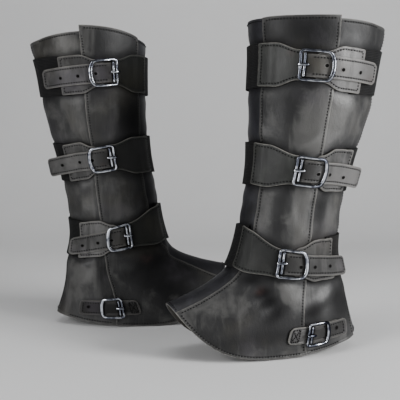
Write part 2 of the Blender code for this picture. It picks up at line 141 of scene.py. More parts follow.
# Soft troughs (negative depth) and ridges, each along a line from a to b on the form.
LEFT_CREASES = (
    Crease(30, 119, 51, 111, 6, -2.0), Crease(51, 111, 64, 97, 6, -2.6),
    Crease(64, 97, 79, 83, 6, -2.4), Crease(79, 83, 86, 68, 6, -1.4),
    Crease(66, 113, 82, 101, 9, 1.8), Crease(82, 101, 92, 86, 9, 2.0),
    Crease(36, 98, 58, 82, 11, 1.2), Crease(104, 84, 132, 102, 7, 1.2),
    Crease(104, 97, 122, 110, 7, -1.0), Crease(116, 80, 140, 92, 7, -0.8),
    Crease(20, 300, 32, 268, 5, 1.4), Crease(44, 326, 50, 284, 9, 1.1),
    Crease(58, 284, 66, 276, 5, 1.8), Crease(64, 272, 84, 290, 6, 1.9),
    Crease(62, 322, 70, 296, 9, -1.4), Crease(80, 326, 82, 300, 8, 1.0),
    Crease(60, 232, 66, 180, 8, 1.2), Crease(40, 228, 44, 176, 7, -1.1),
    Crease(76, 226, 80, 172, 7, -1.0), Crease(70, 204, 84, 172, 5, 1.2),
    Crease(112, 330, 122, 290, 12, 1.3), Crease(118, 224, 124, 176, 10, -1.2),
    Crease(-40, 126, -66, 92, 8, -3.0), Crease(-58, 124, -84, 92, 8, 2.0),
    Crease(-100, 118, -132, 92, 9, -2.0), Crease(-50, 330, -58, 284, 11, -1.4),
    Crease(-96, 334, -104, 288, 11, 1.4), Crease(-70, 226, -76, 174, 9, 1.2),
    Crease(-124, 226, -130, 176, 9, -1.3), Crease(-150, 330, -158, 286, 11, 1.2),
    Crease(176, 112, 188, 74, 10, -1.5),
)
RIGHT_CREASES = (
    Crease(12, 128, 32, 112, 6, -2.6), Crease(20, 132, 42, 118, 6, 1.8),
    Crease(42, 112, 74, 94, 9, -2.0), Crease(96, 104, 112, 116, 7, -1.8),
    Crease(112, 118, 146, 104, 7, 1.6), Crease(116, 100, 140, 80, 9, 2.0),
    Crease(64, 101, 82, 84, 7, 1.4), Crease(68, 330, 74, 290, 10, 1.3),
    Crease(84, 330, 90, 288, 8, -1.2), Crease(34, 330, 44, 290, 9, 1.2),
    Crease(62, 238, 58, 190, 9, -1.2), Crease(80, 236, 84, 186, 7, 1.2),
    Crease(122, 332, 130, 288, 11, -1.3), Crease(128, 232, 134, 182, 10, 1.3),
    Crease(-36, 132, -64, 96, 8, -2.8), Crease(-60, 128, -88, 94, 8, 2.0),
    Crease(-104, 120, -134, 90, 9, -2.0), Crease(-48, 334, -54, 290, 11, 1.4),
    Crease(-92, 332, -100, 286, 11, -1.4), Crease(-72, 232, -80, 180, 9, -1.2),
    Crease(-126, 230, -132, 178, 9, 1.2), Crease(-154, 330, -160, 286, 11, -1.2),
)

LEFT_STAINS = (Stain(49, 381, 7), Stain(123, 348, 15), Stain(56, 107, 9))
RIGHT_STAINS = (Stain(60, 118, 12), Stain(92, 248, 7))

# Paler (positive) and darker parts of the panels, by their half width and half height: partly the leather's
# own uneven tone, partly painted highlights where the light falls and painted shade in crease troughs and on
# shaded sides.
LEFT_PATCHES = (
    Patch(66, 404, 30, 22, -1.0), Patch(118, 400, 34, 20, -0.1), Patch(32, 318, 8, 34, 0.4),
    Patch(56, 316, 18, 34, -0.3), Patch(78, 300, 15, 36, 1.7), Patch(80, 276, 12, 10, 0.6),
    Patch(110, 318, 24, 34, 0.8), Patch(44, 200, 8, 32, 0.4), Patch(58, 204, 12, 36, -0.1),
    Patch(84, 200, 11, 36, 1.2), Patch(106, 200, 11, 40, -1.0), Patch(126, 200, 16, 40, 0.3),
    # These rows hold painted shade along the foot crease's trough and painted highlights on the ridges
    # beside it.
    Patch(34, 88, 18, 12, 0.3), Patch(42, 118, 11, 6, -1.5), Patch(58, 103, 7, 7, -2.0),
    Patch(68, 92, 6, 7, -2.2), Patch(78, 79, 6, 10, -1.9), Patch(84, 101, 10, 11, 1.1),
    Patch(93, 84, 7, 10, 0.8), Patch(74, 113, 9, 5, 0.7), Patch(104, 116, 30, 5, -1.0),
    Patch(60, 48, 30, 12, -0.5), Patch(118, 98, 16, 12, 0.4), Patch(106, 80, 9, 10, -1.3),
    Patch(138, 88, 14, 24, -1.5), Patch(84, 58, 12, 14, -0.7), Patch(-60, 310, 40, 30, 0.2),
    Patch(-110, 205, 30, 36, 0.2), Patch(-90, 90, 34, 26, 0.2),
)
RIGHT_PATCHES = (
    Patch(60, 396, 34, 18, -0.5), Patch(124, 396, 26, 18, 0.5), Patch(78, 312, 16, 36, 0.3),
    Patch(42, 306, 20, 40, -1.8), Patch(122, 306, 20, 36, 0.4), Patch(128, 204, 16, 36, 0.3),
    Patch(80, 206, 14, 36, 0.3), Patch(40, 200, 18, 40, -1.1), Patch(134, 98, 16, 18, 0.9),
    Patch(110, 96, 8, 18, -0.7), Patch(76, 92, 18, 24, -0.4), Patch(84, 106, 8, 7, 0.5),
    Patch(30, 108, 36, 36, -1.5), Patch(-60, 310, 40, 30, 0.2), Patch(-110, 205, 30, 36, 0.2),
    Patch(-90, 90, 34, 26, 0.2),
)

# Punched holes in the tongues, (angle, height), strap by strap and the hem last.
LEFT_HOLES = (
    ((78, 367), (92, 363), (109, 361)),
    ((89, 245), (103, 244), (122, 241)),
    ((88, 134), (102, 133), (121, 132)),
    ((126, 57),),
)
RIGHT_HOLES = (
    ((86, 369), (103, 366), (121, 364)),
    ((103, 256), (120, 253), (143, 250)),
    ((96, 145), (112, 141), (132, 136)),
    ((126, 53),),
)

LEFT = Spat(
    name="left",
    sections=LEFT_SECTIONS,
    seam=(21, 20, 19, 24, 29, 28, 23.5, 20.5, 17.5),
    closure=(89, 88, 88, 92, 97, 98, 95, 99, 104),
    back=152,
    rim_rise=3.5,
    straps=LEFT_STRAPS,
    hem_strap=HemStrap(91, 102, 53, 118, 131, 137, 57),
    mirror=-1,
    centre=(0, 0),
    turn=18,
    lean_forward=0.02,
    lean_out=0.02,
    creases=LEFT_CREASES,
    stains=LEFT_STAINS,
    patches=LEFT_PATCHES,
    # Painted light and shade, as tone, strap by strap: on the front wings, the rear wings, then the tongues,
    # the hem tab and the hem tongue.
    wing_tones=(0.1, 0.1, -0.45),
    rear_wing_tones=(0.55, 0.2, -0.35),
    strap_tones=(1.0, 0.8, -0.3, 0.1, -0.6),
    holes=LEFT_HOLES,
)
RIGHT = Spat(
    name="right",
    sections=RIGHT_SECTIONS,
    seam=(34, 34, 34, 38, 42, 36, 26, 24, 23),
    closure=(98, 98, 100, 103, 108, 108, 104, 104, 105),
    back=168,
    rim_rise=8,
    straps=RIGHT_STRAPS,
    hem_strap=HemStrap(89, 99, 52.5, 115, 129, 135, 51.5),
    mirror=1,
    centre=(-224, 156),
    turn=6,
    lean_forward=0.01,
    lean_out=-0.01,
    creases=RIGHT_CREASES,
    stains=RIGHT_STAINS,
    patches=RIGHT_PATCHES,
    # Painted light and shade, as tone, strap by strap: on the front wings, the rear wings, then the tongues,
    # the hem tab and the hem tongue.
    wing_tones=(-1.6, -0.7, -0.85),
    rear_wing_tones=(-0.2, 0.1, 0.7),
    strap_tones=(0.1, 0.4, 0.0, -0.8, -0.9),
    holes=RIGHT_HOLES,
)

# Where the mesh has lines beside a cut edge, in from it.
EDGE_STEPS = np.array((0.0, 0.35, 0.9, 1.6, 2.3, 3.0, 3.8, 5.0))
# A piece narrower than this many times the last of them draws them together.
EDGE_ROOM = 2.6
# The share of its thickness that a cut edge is drawn in on each face.
PANEL_CHAMFER = 0.18
STRIP_CHAMFER = 0.15

# Stitching.
STITCH_INSET = 3.3
STITCH_PITCH = 3.55
BOX_PITCH = 2.4
BOX_INSET = 3.0
BOX_LENGTH = 10.0
STITCH_LENGTH = 2.25
THREAD = 0.76
SEAM_STITCH_ROWS = (0.12, 7.88)
# Degrees that the rim's and hem's stitches stop short of seams and laps.
SEAM_CLEAR = 4
LAP_CLEAR = 3
INNER_CLEAR = 2

# ---------------------------------------------------------------------------------------------
# The leg form.


def mix(a, b, t):
    return a + (b - a) * t


def full(like, value):
    """The value once for each entry of like."""
    return np.full(np.shape(like), float(value))


def turned_from(start, angle):
    """How far round an angle lies from another, from -180 to 180 degrees."""
    return (angle - start + 180) % 360 - 180


def ease(start, end, value):
    """0 before start, 1 after end, and a smooth step between."""
    t = np.clip((value - start) / (end - start), 0.0, 1.0)
    return t * t * (3 - 2 * t)


def slopes(values):
    """A slope at each value that keeps the curve through them free of overshoot."""
    steps = np.diff(values)
    found = np.concatenate([steps[:1], np.zeros(len(steps) - 1), steps[-1:]])
    before, after = steps[:-1], steps[1:]
    same_way = before * after > 0
    found[1:-1][same_way] = (2 * before * after)[same_way] / (before + after)[same_way]
    return found


def through(values, row):
    """The smooth curve through evenly spaced values, read at rows that needn't be whole."""
    values = np.asarray(values, float)
    slope = slopes(values)
    k = np.clip(np.asarray(row, float).astype(int), 0, len(values) - 2)
    t = row - k
    t2, t3 = t * t, t * t * t
    return (
        (2 * t3 - 3 * t2 + 1) * values[k]
        + (t3 - 2 * t2 + t) * slope[k]
        + (3 * t2 - 2 * t3) * values[k + 1]
        + (t3 - t2) * slope[k + 1]
    )


def bare(spat, angle, row):
    """Points of the leg and foot form: x outwards, y towards the toe, z up."""
    angle, row = np.broadcast_arrays(np.asarray(angle, float), np.asarray(row, float))
    section = Section(*[through(values, row) for values in zip(*spat.sections)])
    turn = np.radians(angle)
    foot = np.maximum(row - FOOT_START_ROW, 0) / (LAST_ROW - FOOT_START_ROW)
    power = 2 / mix(2, FOOT_SQUARENESS, foot)
    cosine, sine = np.cos(turn), np.sin(turn)
    forward = np.sign(cosine) * np.abs(cosine) ** power
    outward = np.sign(sine) * np.abs(sine) ** power
    middle = (section.y_front + section.y_back) / 2
    reach = (section.y_front - section.y_back) / 2
    ahead = forward > 0
    end = np.where(ahead, section.z_front, section.z_back)
    rise = np.where(ahead, np.abs(cosine) ** FRONT_RISE_POWER, cosine**2)
    return np.stack(
        [section.half_width * outward, middle + reach * forward, mix(section.z_side, end, rise)],
        axis=-1,
    )


def length_of(vectors):
    return np.linalg.norm(vectors, axis=-1, keepdims=True)


def unit(vectors):
    return vectors / length_of(vectors)


def normal_at(spat, angle, row):
    above, below = np.maximum(row - ROW_STEP, 0), np.minimum(row + ROW_STEP, LAST_ROW)
    along = bare(spat, angle + 0.5, row) - bare(spat, angle - 0.5, row)
    return unit(np.cross(along, bare(spat, angle, below) - bare(spat, angle, above)))


def row_at(spat, angle, height):
    """The rows whose height at these angles is the given one."""
    angle, height = np.broadcast_arrays(np.asarray(angle, float), np.asarray(height, float))
    low, high = np.zeros(angle.shape), np.full(angle.shape, float(LAST_ROW))
    for _ in range(ROW_HALVINGS):
        middle = (low + high) / 2
        above = bare(spat, angle, middle)[..., 2] > height
        low = np.where(above, middle, low)
        high = np.where(above, high, middle)
    return (low + high) / 2


def per_degree(spat, angle, row):
    """Millimetres round the form in a degree."""
    return length_of(bare(spat, angle + 0.5, row) - bare(spat, angle - 0.5, row))[..., 0]


def degree_at(spat, angle, height):
    """Millimetres round the form in a degree, at one angle and height."""
    return float(per_degree(spat, float(angle), row_at(spat, float(angle), float(height))))


def per_row(spat, angle, row):
    """Millimetres down the form in a row, from this row on."""
    return length_of(bare(spat, angle, row + ROW_STEP) - bare(spat, angle, row))[..., 0] / ROW_STEP


def place(spat, local):
    """The spat's own points, placed beside the other spat, in metres from the left ankle."""
    forward = local[..., 1] + spat.lean_forward * (local[..., 2] - LEAN_PIVOT)
    outward = local[..., 0] + spat.lean_out * (local[..., 2] - LEAN_PIVOT)
    turn = math.radians(spat.turn)
    toe = np.array((math.cos(turn), math.sin(turn), 0)) * spat.mirror
    side = np.array((math.sin(turn), -math.cos(turn), 0))
    flat = forward[..., None] * toe + outward[..., None] * side
    flat += np.array((*spat.centre, -ANKLE_HEIGHT))
    flat[..., 2] += local[..., 2]
    return flat * MM


def on_rows(spat, angle, row, out):
    local = bare(spat, angle, row) + normal_at(spat, angle, row) * np.asarray(out)[..., None]
    return place(spat, local)


def on_heights(spat, angle, height, out):
    return on_rows(spat, angle, row_at(spat, angle, height), out)


# ---------------------------------------------------------------------------------------------
# Layers, creases and wear on the form.


def path_on(spat, angle, height, out):
    """Points over the form, and the way out from it at each."""
    points = on_heights(spat, angle, height, out)
    return points, (on_heights(spat, angle, height, out + 1) - points) / MM


def body_top(spat, angle, row):
    """How far the panels' outer face stands out, laps included, with ramps beside the laps."""
    angle = turned_from(0, angle)
    angle = np.where(angle < spat.back - 360 + RAMP_MARGIN + RAMP, angle + 360, angle)
    seam, closure = through(spat.seam, row), through(spat.closure, row)
    front = ease(seam - RAMP_MARGIN - RAMP, seam - RAMP_MARGIN, angle)
    front = front - ease(closure + RAMP_MARGIN, closure + RAMP_MARGIN + RAMP, angle)
    lap = spat.back - BACK_LAP - RAMP_MARGIN
    back = ease(lap - RAMP, lap, angle)
    back = back - ease(spat.back + RAMP_MARGIN, spat.back + RAMP_MARGIN + RAMP, angle)
    return LEATHER + LAYER * np.maximum(front, back)


def strap_out(spat, angle, height):
    """How far the underside of a strap stands out."""
    return body_top(spat, angle, row_at(spat, angle, height)) + STRAP_GAP


# How far past the bow a wing widens, in degrees.
BOW_FLARE = 9
# The leather bulges this high between straps, and wanders; painted shade darkens it beside the straps.
BULGE = 0.9
BULGE_AT = 13
BULGE_REACH = 9
WAVER = 0.35
STRAP_EDGE_SHADE = 0.8
STRAP_EDGE_SHADE_REACH = 5


def above_straps(spat, angle, height):
    """Distance from the nearest strap's edge, up or down the leg, and negative under it."""
    nearest = full(angle, np.inf)
    for strap in spat.straps:
        turned = (angle - strap.rear_end) % 360 + strap.rear_end - 360
        marks = (strap.rear_end - 360, strap.front_end, strap.bar, strap.rear_end)
        centre = np.interp(turned, marks, (strap.rear_z, strap.front_z, strap.bar_z, strap.rear_z))
        widths = (strap.bar - strap.neck, strap.bar, strap.bow, strap.bow + BOW_FLARE)
        half = np.interp(turned, widths, (WING_HALF, WING_NECK_HALF, WING_NECK_HALF, WING_HALF))
        nearest = np.minimum(nearest, np.abs(height - centre) - half)
    return nearest


def crease_height(spat, angle, row):
    """How far creases and the bulge between straps lift the leather."""
    height = bare(spat, angle, row)[..., 2]
    total = np.zeros(np.shape(height))
    for crease in spat.creases:
        run = ((crease.angle_b - crease.angle_a) * CREASE_DEGREE, crease.z_b - crease.z_a)
        ahead, up = turned_from(crease.angle_a, angle) * CREASE_DEGREE, height - crease.z_a
        share = np.clip((ahead * run[0] + up * run[1]) / (run[0] ** 2 + run[1] ** 2), 0, 1)
        away = np.hypot(ahead - share * run[0], up - share * run[1])
        taper = 1 - 0.5 * (2 * share - 1) ** 2
        total += crease.depth * taper * np.exp(-((away / crease.width) ** 2))
    gap = above_straps(spat, angle, height)
    bulge = BULGE * np.exp(-(((gap - BULGE_AT) / BULGE_REACH) ** 2))
    waver = WAVER * np.sin(angle * 0.13 + height * 0.031) * np.sin(height * 0.052 + 1.3)
    return (total + bulge + waver) * ease(-2, 9, gap)


def stain_at(spat, angle, height):
    """1 in the middle of a rusty stain and 0 outside it."""
    found = np.zeros(np.shape(angle))
    for stain in spat.stains:
        away = np.hypot((angle - stain.angle) * STAIN_DEGREE, height - stain.z)
        found = np.maximum(found, 1 - ease(0.2, 1.0, away / stain.radius))
    return found


def tone_at(spat, angle, row):
    """How much paler than usual the panels are: partly their own uneven tone, partly painted highlights and
    painted shade; painted shade darkens them beside the straps.
    """
    height = bare(spat, angle, row)[..., 2]
    total = np.zeros(np.shape(height))
    for patch in spat.patches:
        away = turned_from(patch.angle, angle) / patch.wide
        total += patch.tone * np.exp(-(away**2) - ((height - patch.z) / patch.tall) ** 2)
    # Painted shade along every strap's edge, fading over a few millimetres.
    clear = np.maximum(above_straps(spat, angle, height), 0)
    return total - STRAP_EDGE_SHADE * np.exp(-((clear / STRAP_EDGE_SHADE_REACH) ** 2))


# ---------------------------------------------------------------------------------------------
# Mesh making.


def add_object(name, data):
    thing = bpy.data.objects.new(name, data)
    bpy.context.scene.collection.objects.link(thing)
    return thing


def add_mesh(name, vertices, faces, materials):
    """A smooth mesh of listed points and faces."""
    mesh = bpy.data.meshes.new(name)
    mesh.from_pydata(vertices, [], faces)
    for material in materials:
        mesh.materials.append(material)
    mesh.shade_smooth()
    return add_object(name, mesh)


def make_piece(name, vertices, faces, materials, face_materials=None, attributes=None):
    """A smooth mesh that rides on the spats' one body."""
    thing = add_mesh(name, vertices.tolist(), faces.tolist(), materials)
    if face_materials is not None:
        thing.data.polygons.foreach_set("material_index", face_materials)
    for key, values in (attributes or {}).items():
        layer = thing.data.attributes.new(key, "FLOAT", "POINT")
        layer.data.foreach_set("value", np.asarray(values, np.float32))
    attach(thing, "root")
    return thing


def tube_faces(grid):
    """Faces between neighbouring rings, from a grid of vertex numbers."""
    turned = np.roll(grid, -1, axis=1)
    return np.stack([grid[:-1], grid[1:], turned[1:], turned[:-1]], -1).reshape(-1, 4)


def make_shell(name, outer, inner, materials, attributes, inner_material=0):
    """A closed wall between two grids of points, whose border rows and columns are its edge."""
    rows, columns = outer.shape[:2]
    count = rows * columns
    grid = np.arange(count).reshape(rows, columns)
    quads = np.stack([grid[:-1, :-1], grid[:-1, 1:], grid[1:, 1:], grid[1:, :-1]], -1).reshape(-1, 4)
    border = np.concatenate([grid[0], grid[1:, -1], grid[-1, -2::-1], grid[-2:0:-1, 0]])
    after = np.roll(border, -1)
    sides = np.stack([after, border, border + count, after + count], -1)
    faces = np.concatenate([quads, quads[:, ::-1] + count, sides])
    vertices = np.concatenate([outer.reshape(-1, 3), inner.reshape(-1, 3)])
    turn = np.cross(outer[0, 1] - outer[0, 0], outer[1, 0] - outer[0, 0])
    if turn @ (outer[1, 1] - inner[1, 1]) < 0:
        faces = faces[:, ::-1]
    chosen = np.zeros(len(faces), np.int32)
    chosen[len(quads) : 2 * len(quads)] = inner_material
    doubled = {key: np.tile(values.reshape(-1), 2) for key, values in attributes.items()}
    return make_piece(name, vertices, faces, materials, chosen, doubled)


def edge_shrink(length):
    """How far the edge lines draw together on a piece too narrow for them."""
    return min(1.0, length / (EDGE_ROOM * EDGE_STEPS[-1]))


def edge_spaced(length, pitch):
    """Distances from one cut edge to the other: close together at both, evenly between."""
    steps = EDGE_STEPS * edge_shrink(length)
    count = max(2, int(round((length - 2 * steps[-1]) / pitch)))
    middle = np.linspace(steps[-1], length - steps[-1], count + 1)
    return np.concatenate([steps[:-1], middle, (length - steps[:-1])[::-1]])


def chamfer(outer, inner, share):
    """Draws the border of two grids of values together, so that a cut edge is slightly rounded."""
    for side in (np.s_[0, :], np.s_[-1, :], np.s_[:, 0], np.s_[:, -1]):
        low, high = inner[side].copy(), outer[side].copy()
        outer[side] = mix(high, low, share)
        inner[side] = mix(low, high, share)


# ---------------------------------------------------------------------------------------------
# Stitching.


def resample(points, normals, pitch):
    """Points, directions and normals at even steps along a line, with half a step at each end."""
    along = np.concatenate([[0], np.cumsum(length_of(np.diff(points, axis=0)))])
    count = max(1, int(along[-1] // pitch))
    at = (np.arange(count) + 0.5) * along[-1] / count

    def read(values, places):
        return np.stack([np.interp(places, along, column) for column in values.T], -1)

    ahead = read(points, at + pitch / 5) - read(points, at - pitch / 5)
    return read(points, at), unit(ahead), unit(read(normals, at))


class Stitches:
    """Collects stitch lines and makes them into one mesh of short thread humps."""

    # Along the stitch: share of its half length, share of the thread's radius, lift.
    HALF_PROFILE = ((-1.0, 0.35, -0.5), (-0.72, 0.9, 0.05), (-0.25, 1.0, 0.3))
    PROFILE = np.array(HALF_PROFILE + tuple((-share, *rest) for share, *rest in HALF_PROFILE[::-1]))
    SIDES = 6

    def __init__(self):
        self.lines = []

    def add(self, spat, angle, height, out, pitch=STITCH_PITCH):
        """A line of stitches through angles and heights, on leather that stands out this far."""
        points, up = path_on(spat, angle, height, out)
        self.lines.append(resample(points, up, pitch * MM))

    def make(self, name):
        centre, along, up = (np.concatenate(parts) for parts in zip(*self.lines))
        across = unit(np.cross(along, up))
        up = np.cross(across, along)[:, None, None]
        across, along = across[:, None, None], along[:, None, None]
        turns = (np.arange(self.SIDES) * 2 * math.pi / self.SIDES)[None, None, :, None]
        share, swell, lift = (column[None, :, None, None] for column in self.PROFILE.T)
        spokes = across * np.cos(turns) + up * np.sin(turns)
        vertices = centre[:, None, None] + along * share * STITCH_LENGTH / 2 * MM
        vertices = vertices + (up * lift + spokes * swell) * THREAD * MM
        quads = tube_faces(np.arange(len(self.PROFILE) * self.SIDES).reshape(-1, self.SIDES))
        starts = np.arange(len(centre))[:, None, None] * len(self.PROFILE) * self.SIDES
        return make_piece(name, vertices.reshape(-1, 3), (quads + starts).reshape(-1, 4), [THREAD_MATERIAL])


# ---------------------------------------------------------------------------------------------
# Materials.

EDGE_TONE = (0.2, 0.192, 0.175)


class Shader:
    """A material's node tree, with short calls for the nodes that these materials use."""

    def __init__(self, name):
        self.material = bpy.data.materials.new(name)
        self.material.use_nodes = True
        self.tree = self.material.node_tree
        self.bsdf = self.tree.nodes["Principled BSDF"]
        self.object = self.node("ShaderNodeTexCoord").outputs["Object"]

    def plug(self, socket, value):
        if isinstance(value, bpy.types.NodeSocket):
            self.tree.links.new(value, socket)
        else:
            socket.default_value = value

    def node(self, kind, inputs=None, **settings):
        made = self.tree.nodes.new(kind)
        for key, value in settings.items():
            setattr(made, key, value)
        for key, value in (inputs or {}).items():
            self.plug(made.inputs[key], value)
        return made

    def surface(self, name, value):
        self.plug(self.bsdf.inputs[name], value)

    def stretched(self, x, y, z):
        node = self.node("ShaderNodeMapping", {"Vector": self.object, "Scale": (x, y, z)})
        return node.outputs["Vector"]

    def noise(self, scale, detail=3.0, roughness=0.55, distortion=0.0, vector=None):
        inputs = {"Vector": vector or self.object, "Scale": scale, "Detail": detail}
        inputs.update({"Roughness": roughness, "Distortion": distortion})
        return self.node("ShaderNodeTexNoise", inputs).outputs["Fac"]

    def cells(self, scale):
        inputs = {"Vector": self.object, "Scale": scale}
        return self.node("ShaderNodeTexVoronoi", inputs, feature="SMOOTH_F1").outputs["Distance"]

    def attribute(self, name):
        return self.node("ShaderNodeAttribute", attribute_name=name).outputs["Fac"]

    def between(self, value, low, high, to_low=0.0, to_high=1.0):
        """value from low to high, mapped smoothly and kept in range."""
        inputs = {"Value": value, "From Min": low, "From Max": high, "To Min": to_low, "To Max": to_high}
        return self.node("ShaderNodeMapRange", inputs, interpolation_type="SMOOTHSTEP").outputs["Result"]

    def math(self, operation, a, b=0.0):
        return self.node("ShaderNodeMath", {0: a, 1: b}, operation=operation).outputs[0]

    def plus(self, a, b):
        return self.math("ADD", a, b)

    def times(self, a, b):
        return self.math("MULTIPLY", a, b)

    def blend(self, share, a, b):
        a, b = (c if isinstance(c, bpy.types.NodeSocket) else (*c, 1) for c in (a, b))
        return self.node("ShaderNodeMix", {0: share, 6: a, 7: b}, data_type="RGBA").outputs[2]

    def bump(self, height, distance, strength=1.0, under=None):
        """height in units of distance metres, over the bump that is under it."""
        inputs = {"Height": height, "Distance": distance, "Strength": strength}
        if under is not None:
            inputs["Normal"] = under
        return self.node("ShaderNodeBump", inputs).outputs["Normal"]

    def finish(self, colour, roughness, normal):
        self.surface("Base Color", colour)
        self.surface("Roughness", roughness)
        self.surface("Normal", normal)
        return self.material


def leather(name, dark, base, light, gloss=0.4, wear=1.0):
    """Distressed, waxed leather: mottled, streaked, grained, and rubbed pale along its edges."""
    s = Shader(name)
    clouds = s.noise(14, detail=5, roughness=0.55, distortion=0.2)
    patches = s.noise(38, detail=5, roughness=0.58, distortion=0.3)
    long_streaks = s.noise(60, detail=4, roughness=0.55, distortion=0.7, vector=s.stretched(1, 1, 0.14))
    # The tone attribute carries the leather's own uneven tone together with painted highlights and painted
    # shade.
    tone = s.attribute("tone")
    shade = s.plus(clouds, s.times(tone, 0.3))
    colour = s.blend(s.between(shade, 0.34, 0.6), dark, base)
    pale = s.plus(patches, s.times(tone, 0.26))
    colour = s.blend(s.between(pale, 0.47, 0.76, 0, 0.8), colour, light)
    streaked = s.plus(long_streaks, s.times(tone, 0.2))
    colour = s.blend(s.between(streaked, 0.5, 0.74, 0, 0.65), colour, light)
    colour = s.blend(s.between(s.noise(1400, detail=2), 0.58, 0.75, 0, 0.35), colour, dark)
    olive = tuple(value * share for value, share in zip(light, (0.95, 0.86, 0.62)))
    lilac = tuple(value * share for value, share in zip(light, (0.72, 0.66, 0.82)))
    colour = s.blend(s.between(s.noise(15, detail=3), 0.5, 0.75, 0, 0.25), colour, olive)
    colour = s.blend(s.between(s.noise(18, detail=3), 0.52, 0.74, 0, 0.35), colour, lilac)
    rust = s.times(s.attribute("stain"), s.between(patches, 0.36, 0.62))
    colour = s.blend(s.times(rust, 0.34), colour, (0.055, 0.028, 0.024))

    edge = s.attribute("edge")
    worn = s.times(s.math("SUBTRACT", s.noise(230, detail=4), 0.5), 1.6)
    ragged = s.plus(edge, worn)
    # Painted shade: the pale cut edges are dimmed where the tone is dark.
    edges_in_painted_shade = s.between(tone, -1.1, 0.1, 0.3, 1)
    rubbed = s.times(s.between(ragged, 0.2, 0.95, 0.8 * wear, 0), edges_in_painted_shade)
    polished = s.between(ragged, 2.0, 5.5, 0.2 * wear, 0)
    colour = s.blend(polished, colour, tuple(1.6 * value for value in light))
    colour = s.blend(rubbed, colour, EDGE_TONE)

    pebbles = s.math("SUBTRACT", 1.0, s.cells(700))
    lines = s.noise(110, detail=6, roughness=0.68, distortion=1.4, vector=s.stretched(1, 1, 0.5))
    groove = s.between(s.math("ABSOLUTE", s.math("SUBTRACT", edge, STITCH_INSET)), 0.3, 1.2)
    normal = s.bump(s.between(lines, 0.3, 0.7), 0.0004, 0.3)
    normal = s.bump(pebbles, 0.0002, 0.45, normal)
    normal = s.bump(s.noise(2000, detail=3), 0.00009, 0.5, normal)
    normal = s.bump(groove, 0.0005, 0.8, normal)
    # Painted shade also lowers the specular level and raises the roughness where the tone is dark.
    s.surface("Specular IOR Level", s.between(tone, -2.0, 0.7, 0.12, 0.54))
    rough = s.between(clouds, 0.3, 0.7, gloss + 0.1, gloss - 0.06)
    rough = s.plus(rough, s.times(s.between(patches, 0.45, 0.75), 0.1))
    rough = s.plus(rough, s.times(rubbed, 0.25))
    rough = s.plus(rough, s.between(tone, -1.2, 0.6, 0.2, -0.04))
    return s.finish(colour, rough, normal)


def flesh_side():
    """The rough inside of the leather."""
    s = Shader("leather_flesh_side")
    nap = s.noise(900, detail=5, roughness=0.7)
    clouds = s.noise(30, detail=4)
    colour = s.blend(s.between(clouds, 0.35, 0.65), (0.035, 0.032, 0.028), (0.062, 0.056, 0.048))
    colour = s.blend(s.between(nap, 0.5, 0.75, 0, 0.5), colour, (0.1, 0.092, 0.08))
    s.surface("Sheen Weight", 0.2)
    return s.finish(colour, 0.95, s.bump(nap, 0.0005, 0.7))


def elastic_webbing():
    """Black elastic with fine ribs along its length."""
    s = Shader("elastic_webbing")
    across = s.attribute("across")
    along = s.attribute("along")
    ribs = s.math("SINE", s.times(across, 2 * math.pi / 1.9))
    knots = s.math("SINE", s.times(along, 2 * math.pi / 1.2))
    weave = s.times(s.plus(s.times(knots, 0.35), 1.0), ribs)
    fluff = s.noise(1300, detail=3)
    colour = s.blend(s.between(weave, -1.0, 1.0), (0.002, 0.002, 0.0022), (0.0095, 0.0095, 0.01))
    colour = s.blend(s.between(fluff, 0.58, 0.8, 0, 0.4), colour, (0.02, 0.02, 0.021))
    faded = s.between(s.noise(24, detail=4), 0.5, 0.75, 0, 0.4)
    colour = s.blend(faded, colour, (0.016, 0.014, 0.013))
    rust = s.times(s.attribute("stain"), s.between(s.noise(60), 0.4, 0.62))
    colour = s.blend(s.times(rust, 0.5), colour, (0.09, 0.028, 0.024))
    s.surface("Specular IOR Level", 0.25)
    normal = s.bump(weave, 0.00025, 0.8)
    return s.finish(colour, 0.85, s.bump(fluff, 0.0001, 0.5, normal))


def waxed_thread():
    s = Shader("waxed_thread")
    twist = s.noise(2600, detail=2)
    colour = s.blend(twist, (0.0015, 0.0015, 0.0015), (0.006, 0.006, 0.006))
    s.surface("Specular IOR Level", 0.25)
    return s.finish(colour, 0.7, s.bump(twist, 0.0001, 0.6))


def dark_chrome():
    """Nickel plating with painted reflections: painted bright along the middle of the wire and dark down its
    sides, and painted in bright and dark spots along it; smudges vary its roughness.
    """
    s = Shader("dark_chrome")
    smudge_and_painted_glints = s.noise(120, detail=4)
    scratches = s.noise(900, detail=3, vector=s.stretched(1, 1, 0.15))
    # Painted reflection: the colour turns dark as the wire's surface turns away from the view.
    facing = s.node("ShaderNodeLayerWeight", {"Blend": 0.5})
    painted_dark_sides = s.between(facing.outputs["Facing"], 0.06, 0.26)
    # Painted glints: noise spots the plating bright and dark.
    plating_and_painted_glints = s.blend(s.between(smudge_and_painted_glints, 0.4, 0.58), (0.14, 0.15, 0.185), (0.64, 0.665, 0.72))
    colour = s.blend(painted_dark_sides, plating_and_painted_glints, (0.006, 0.0075, 0.014))
    rough = s.between(smudge_and_painted_glints, 0.35, 0.7, 0.27, 0.18)
    s.surface("Metallic", 1.0)
    return s.finish(colour, rough, s.bump(scratches, 0.00004, 0.4))


# A near-black disc of painted shade, standing in for the shaded hollow of a punched hole.
def hole_painted_shade():
    s = Shader("punched_hole")
    dust = s.noise(1800, detail=3)
    colour = s.blend(dust, (0.0015, 0.0015, 0.0015), (0.006, 0.0055, 0.005))
    s.surface("Specular IOR Level", 0.08)
    return s.finish(colour, 0.9, s.bump(dust, 0.0001, 0.5))


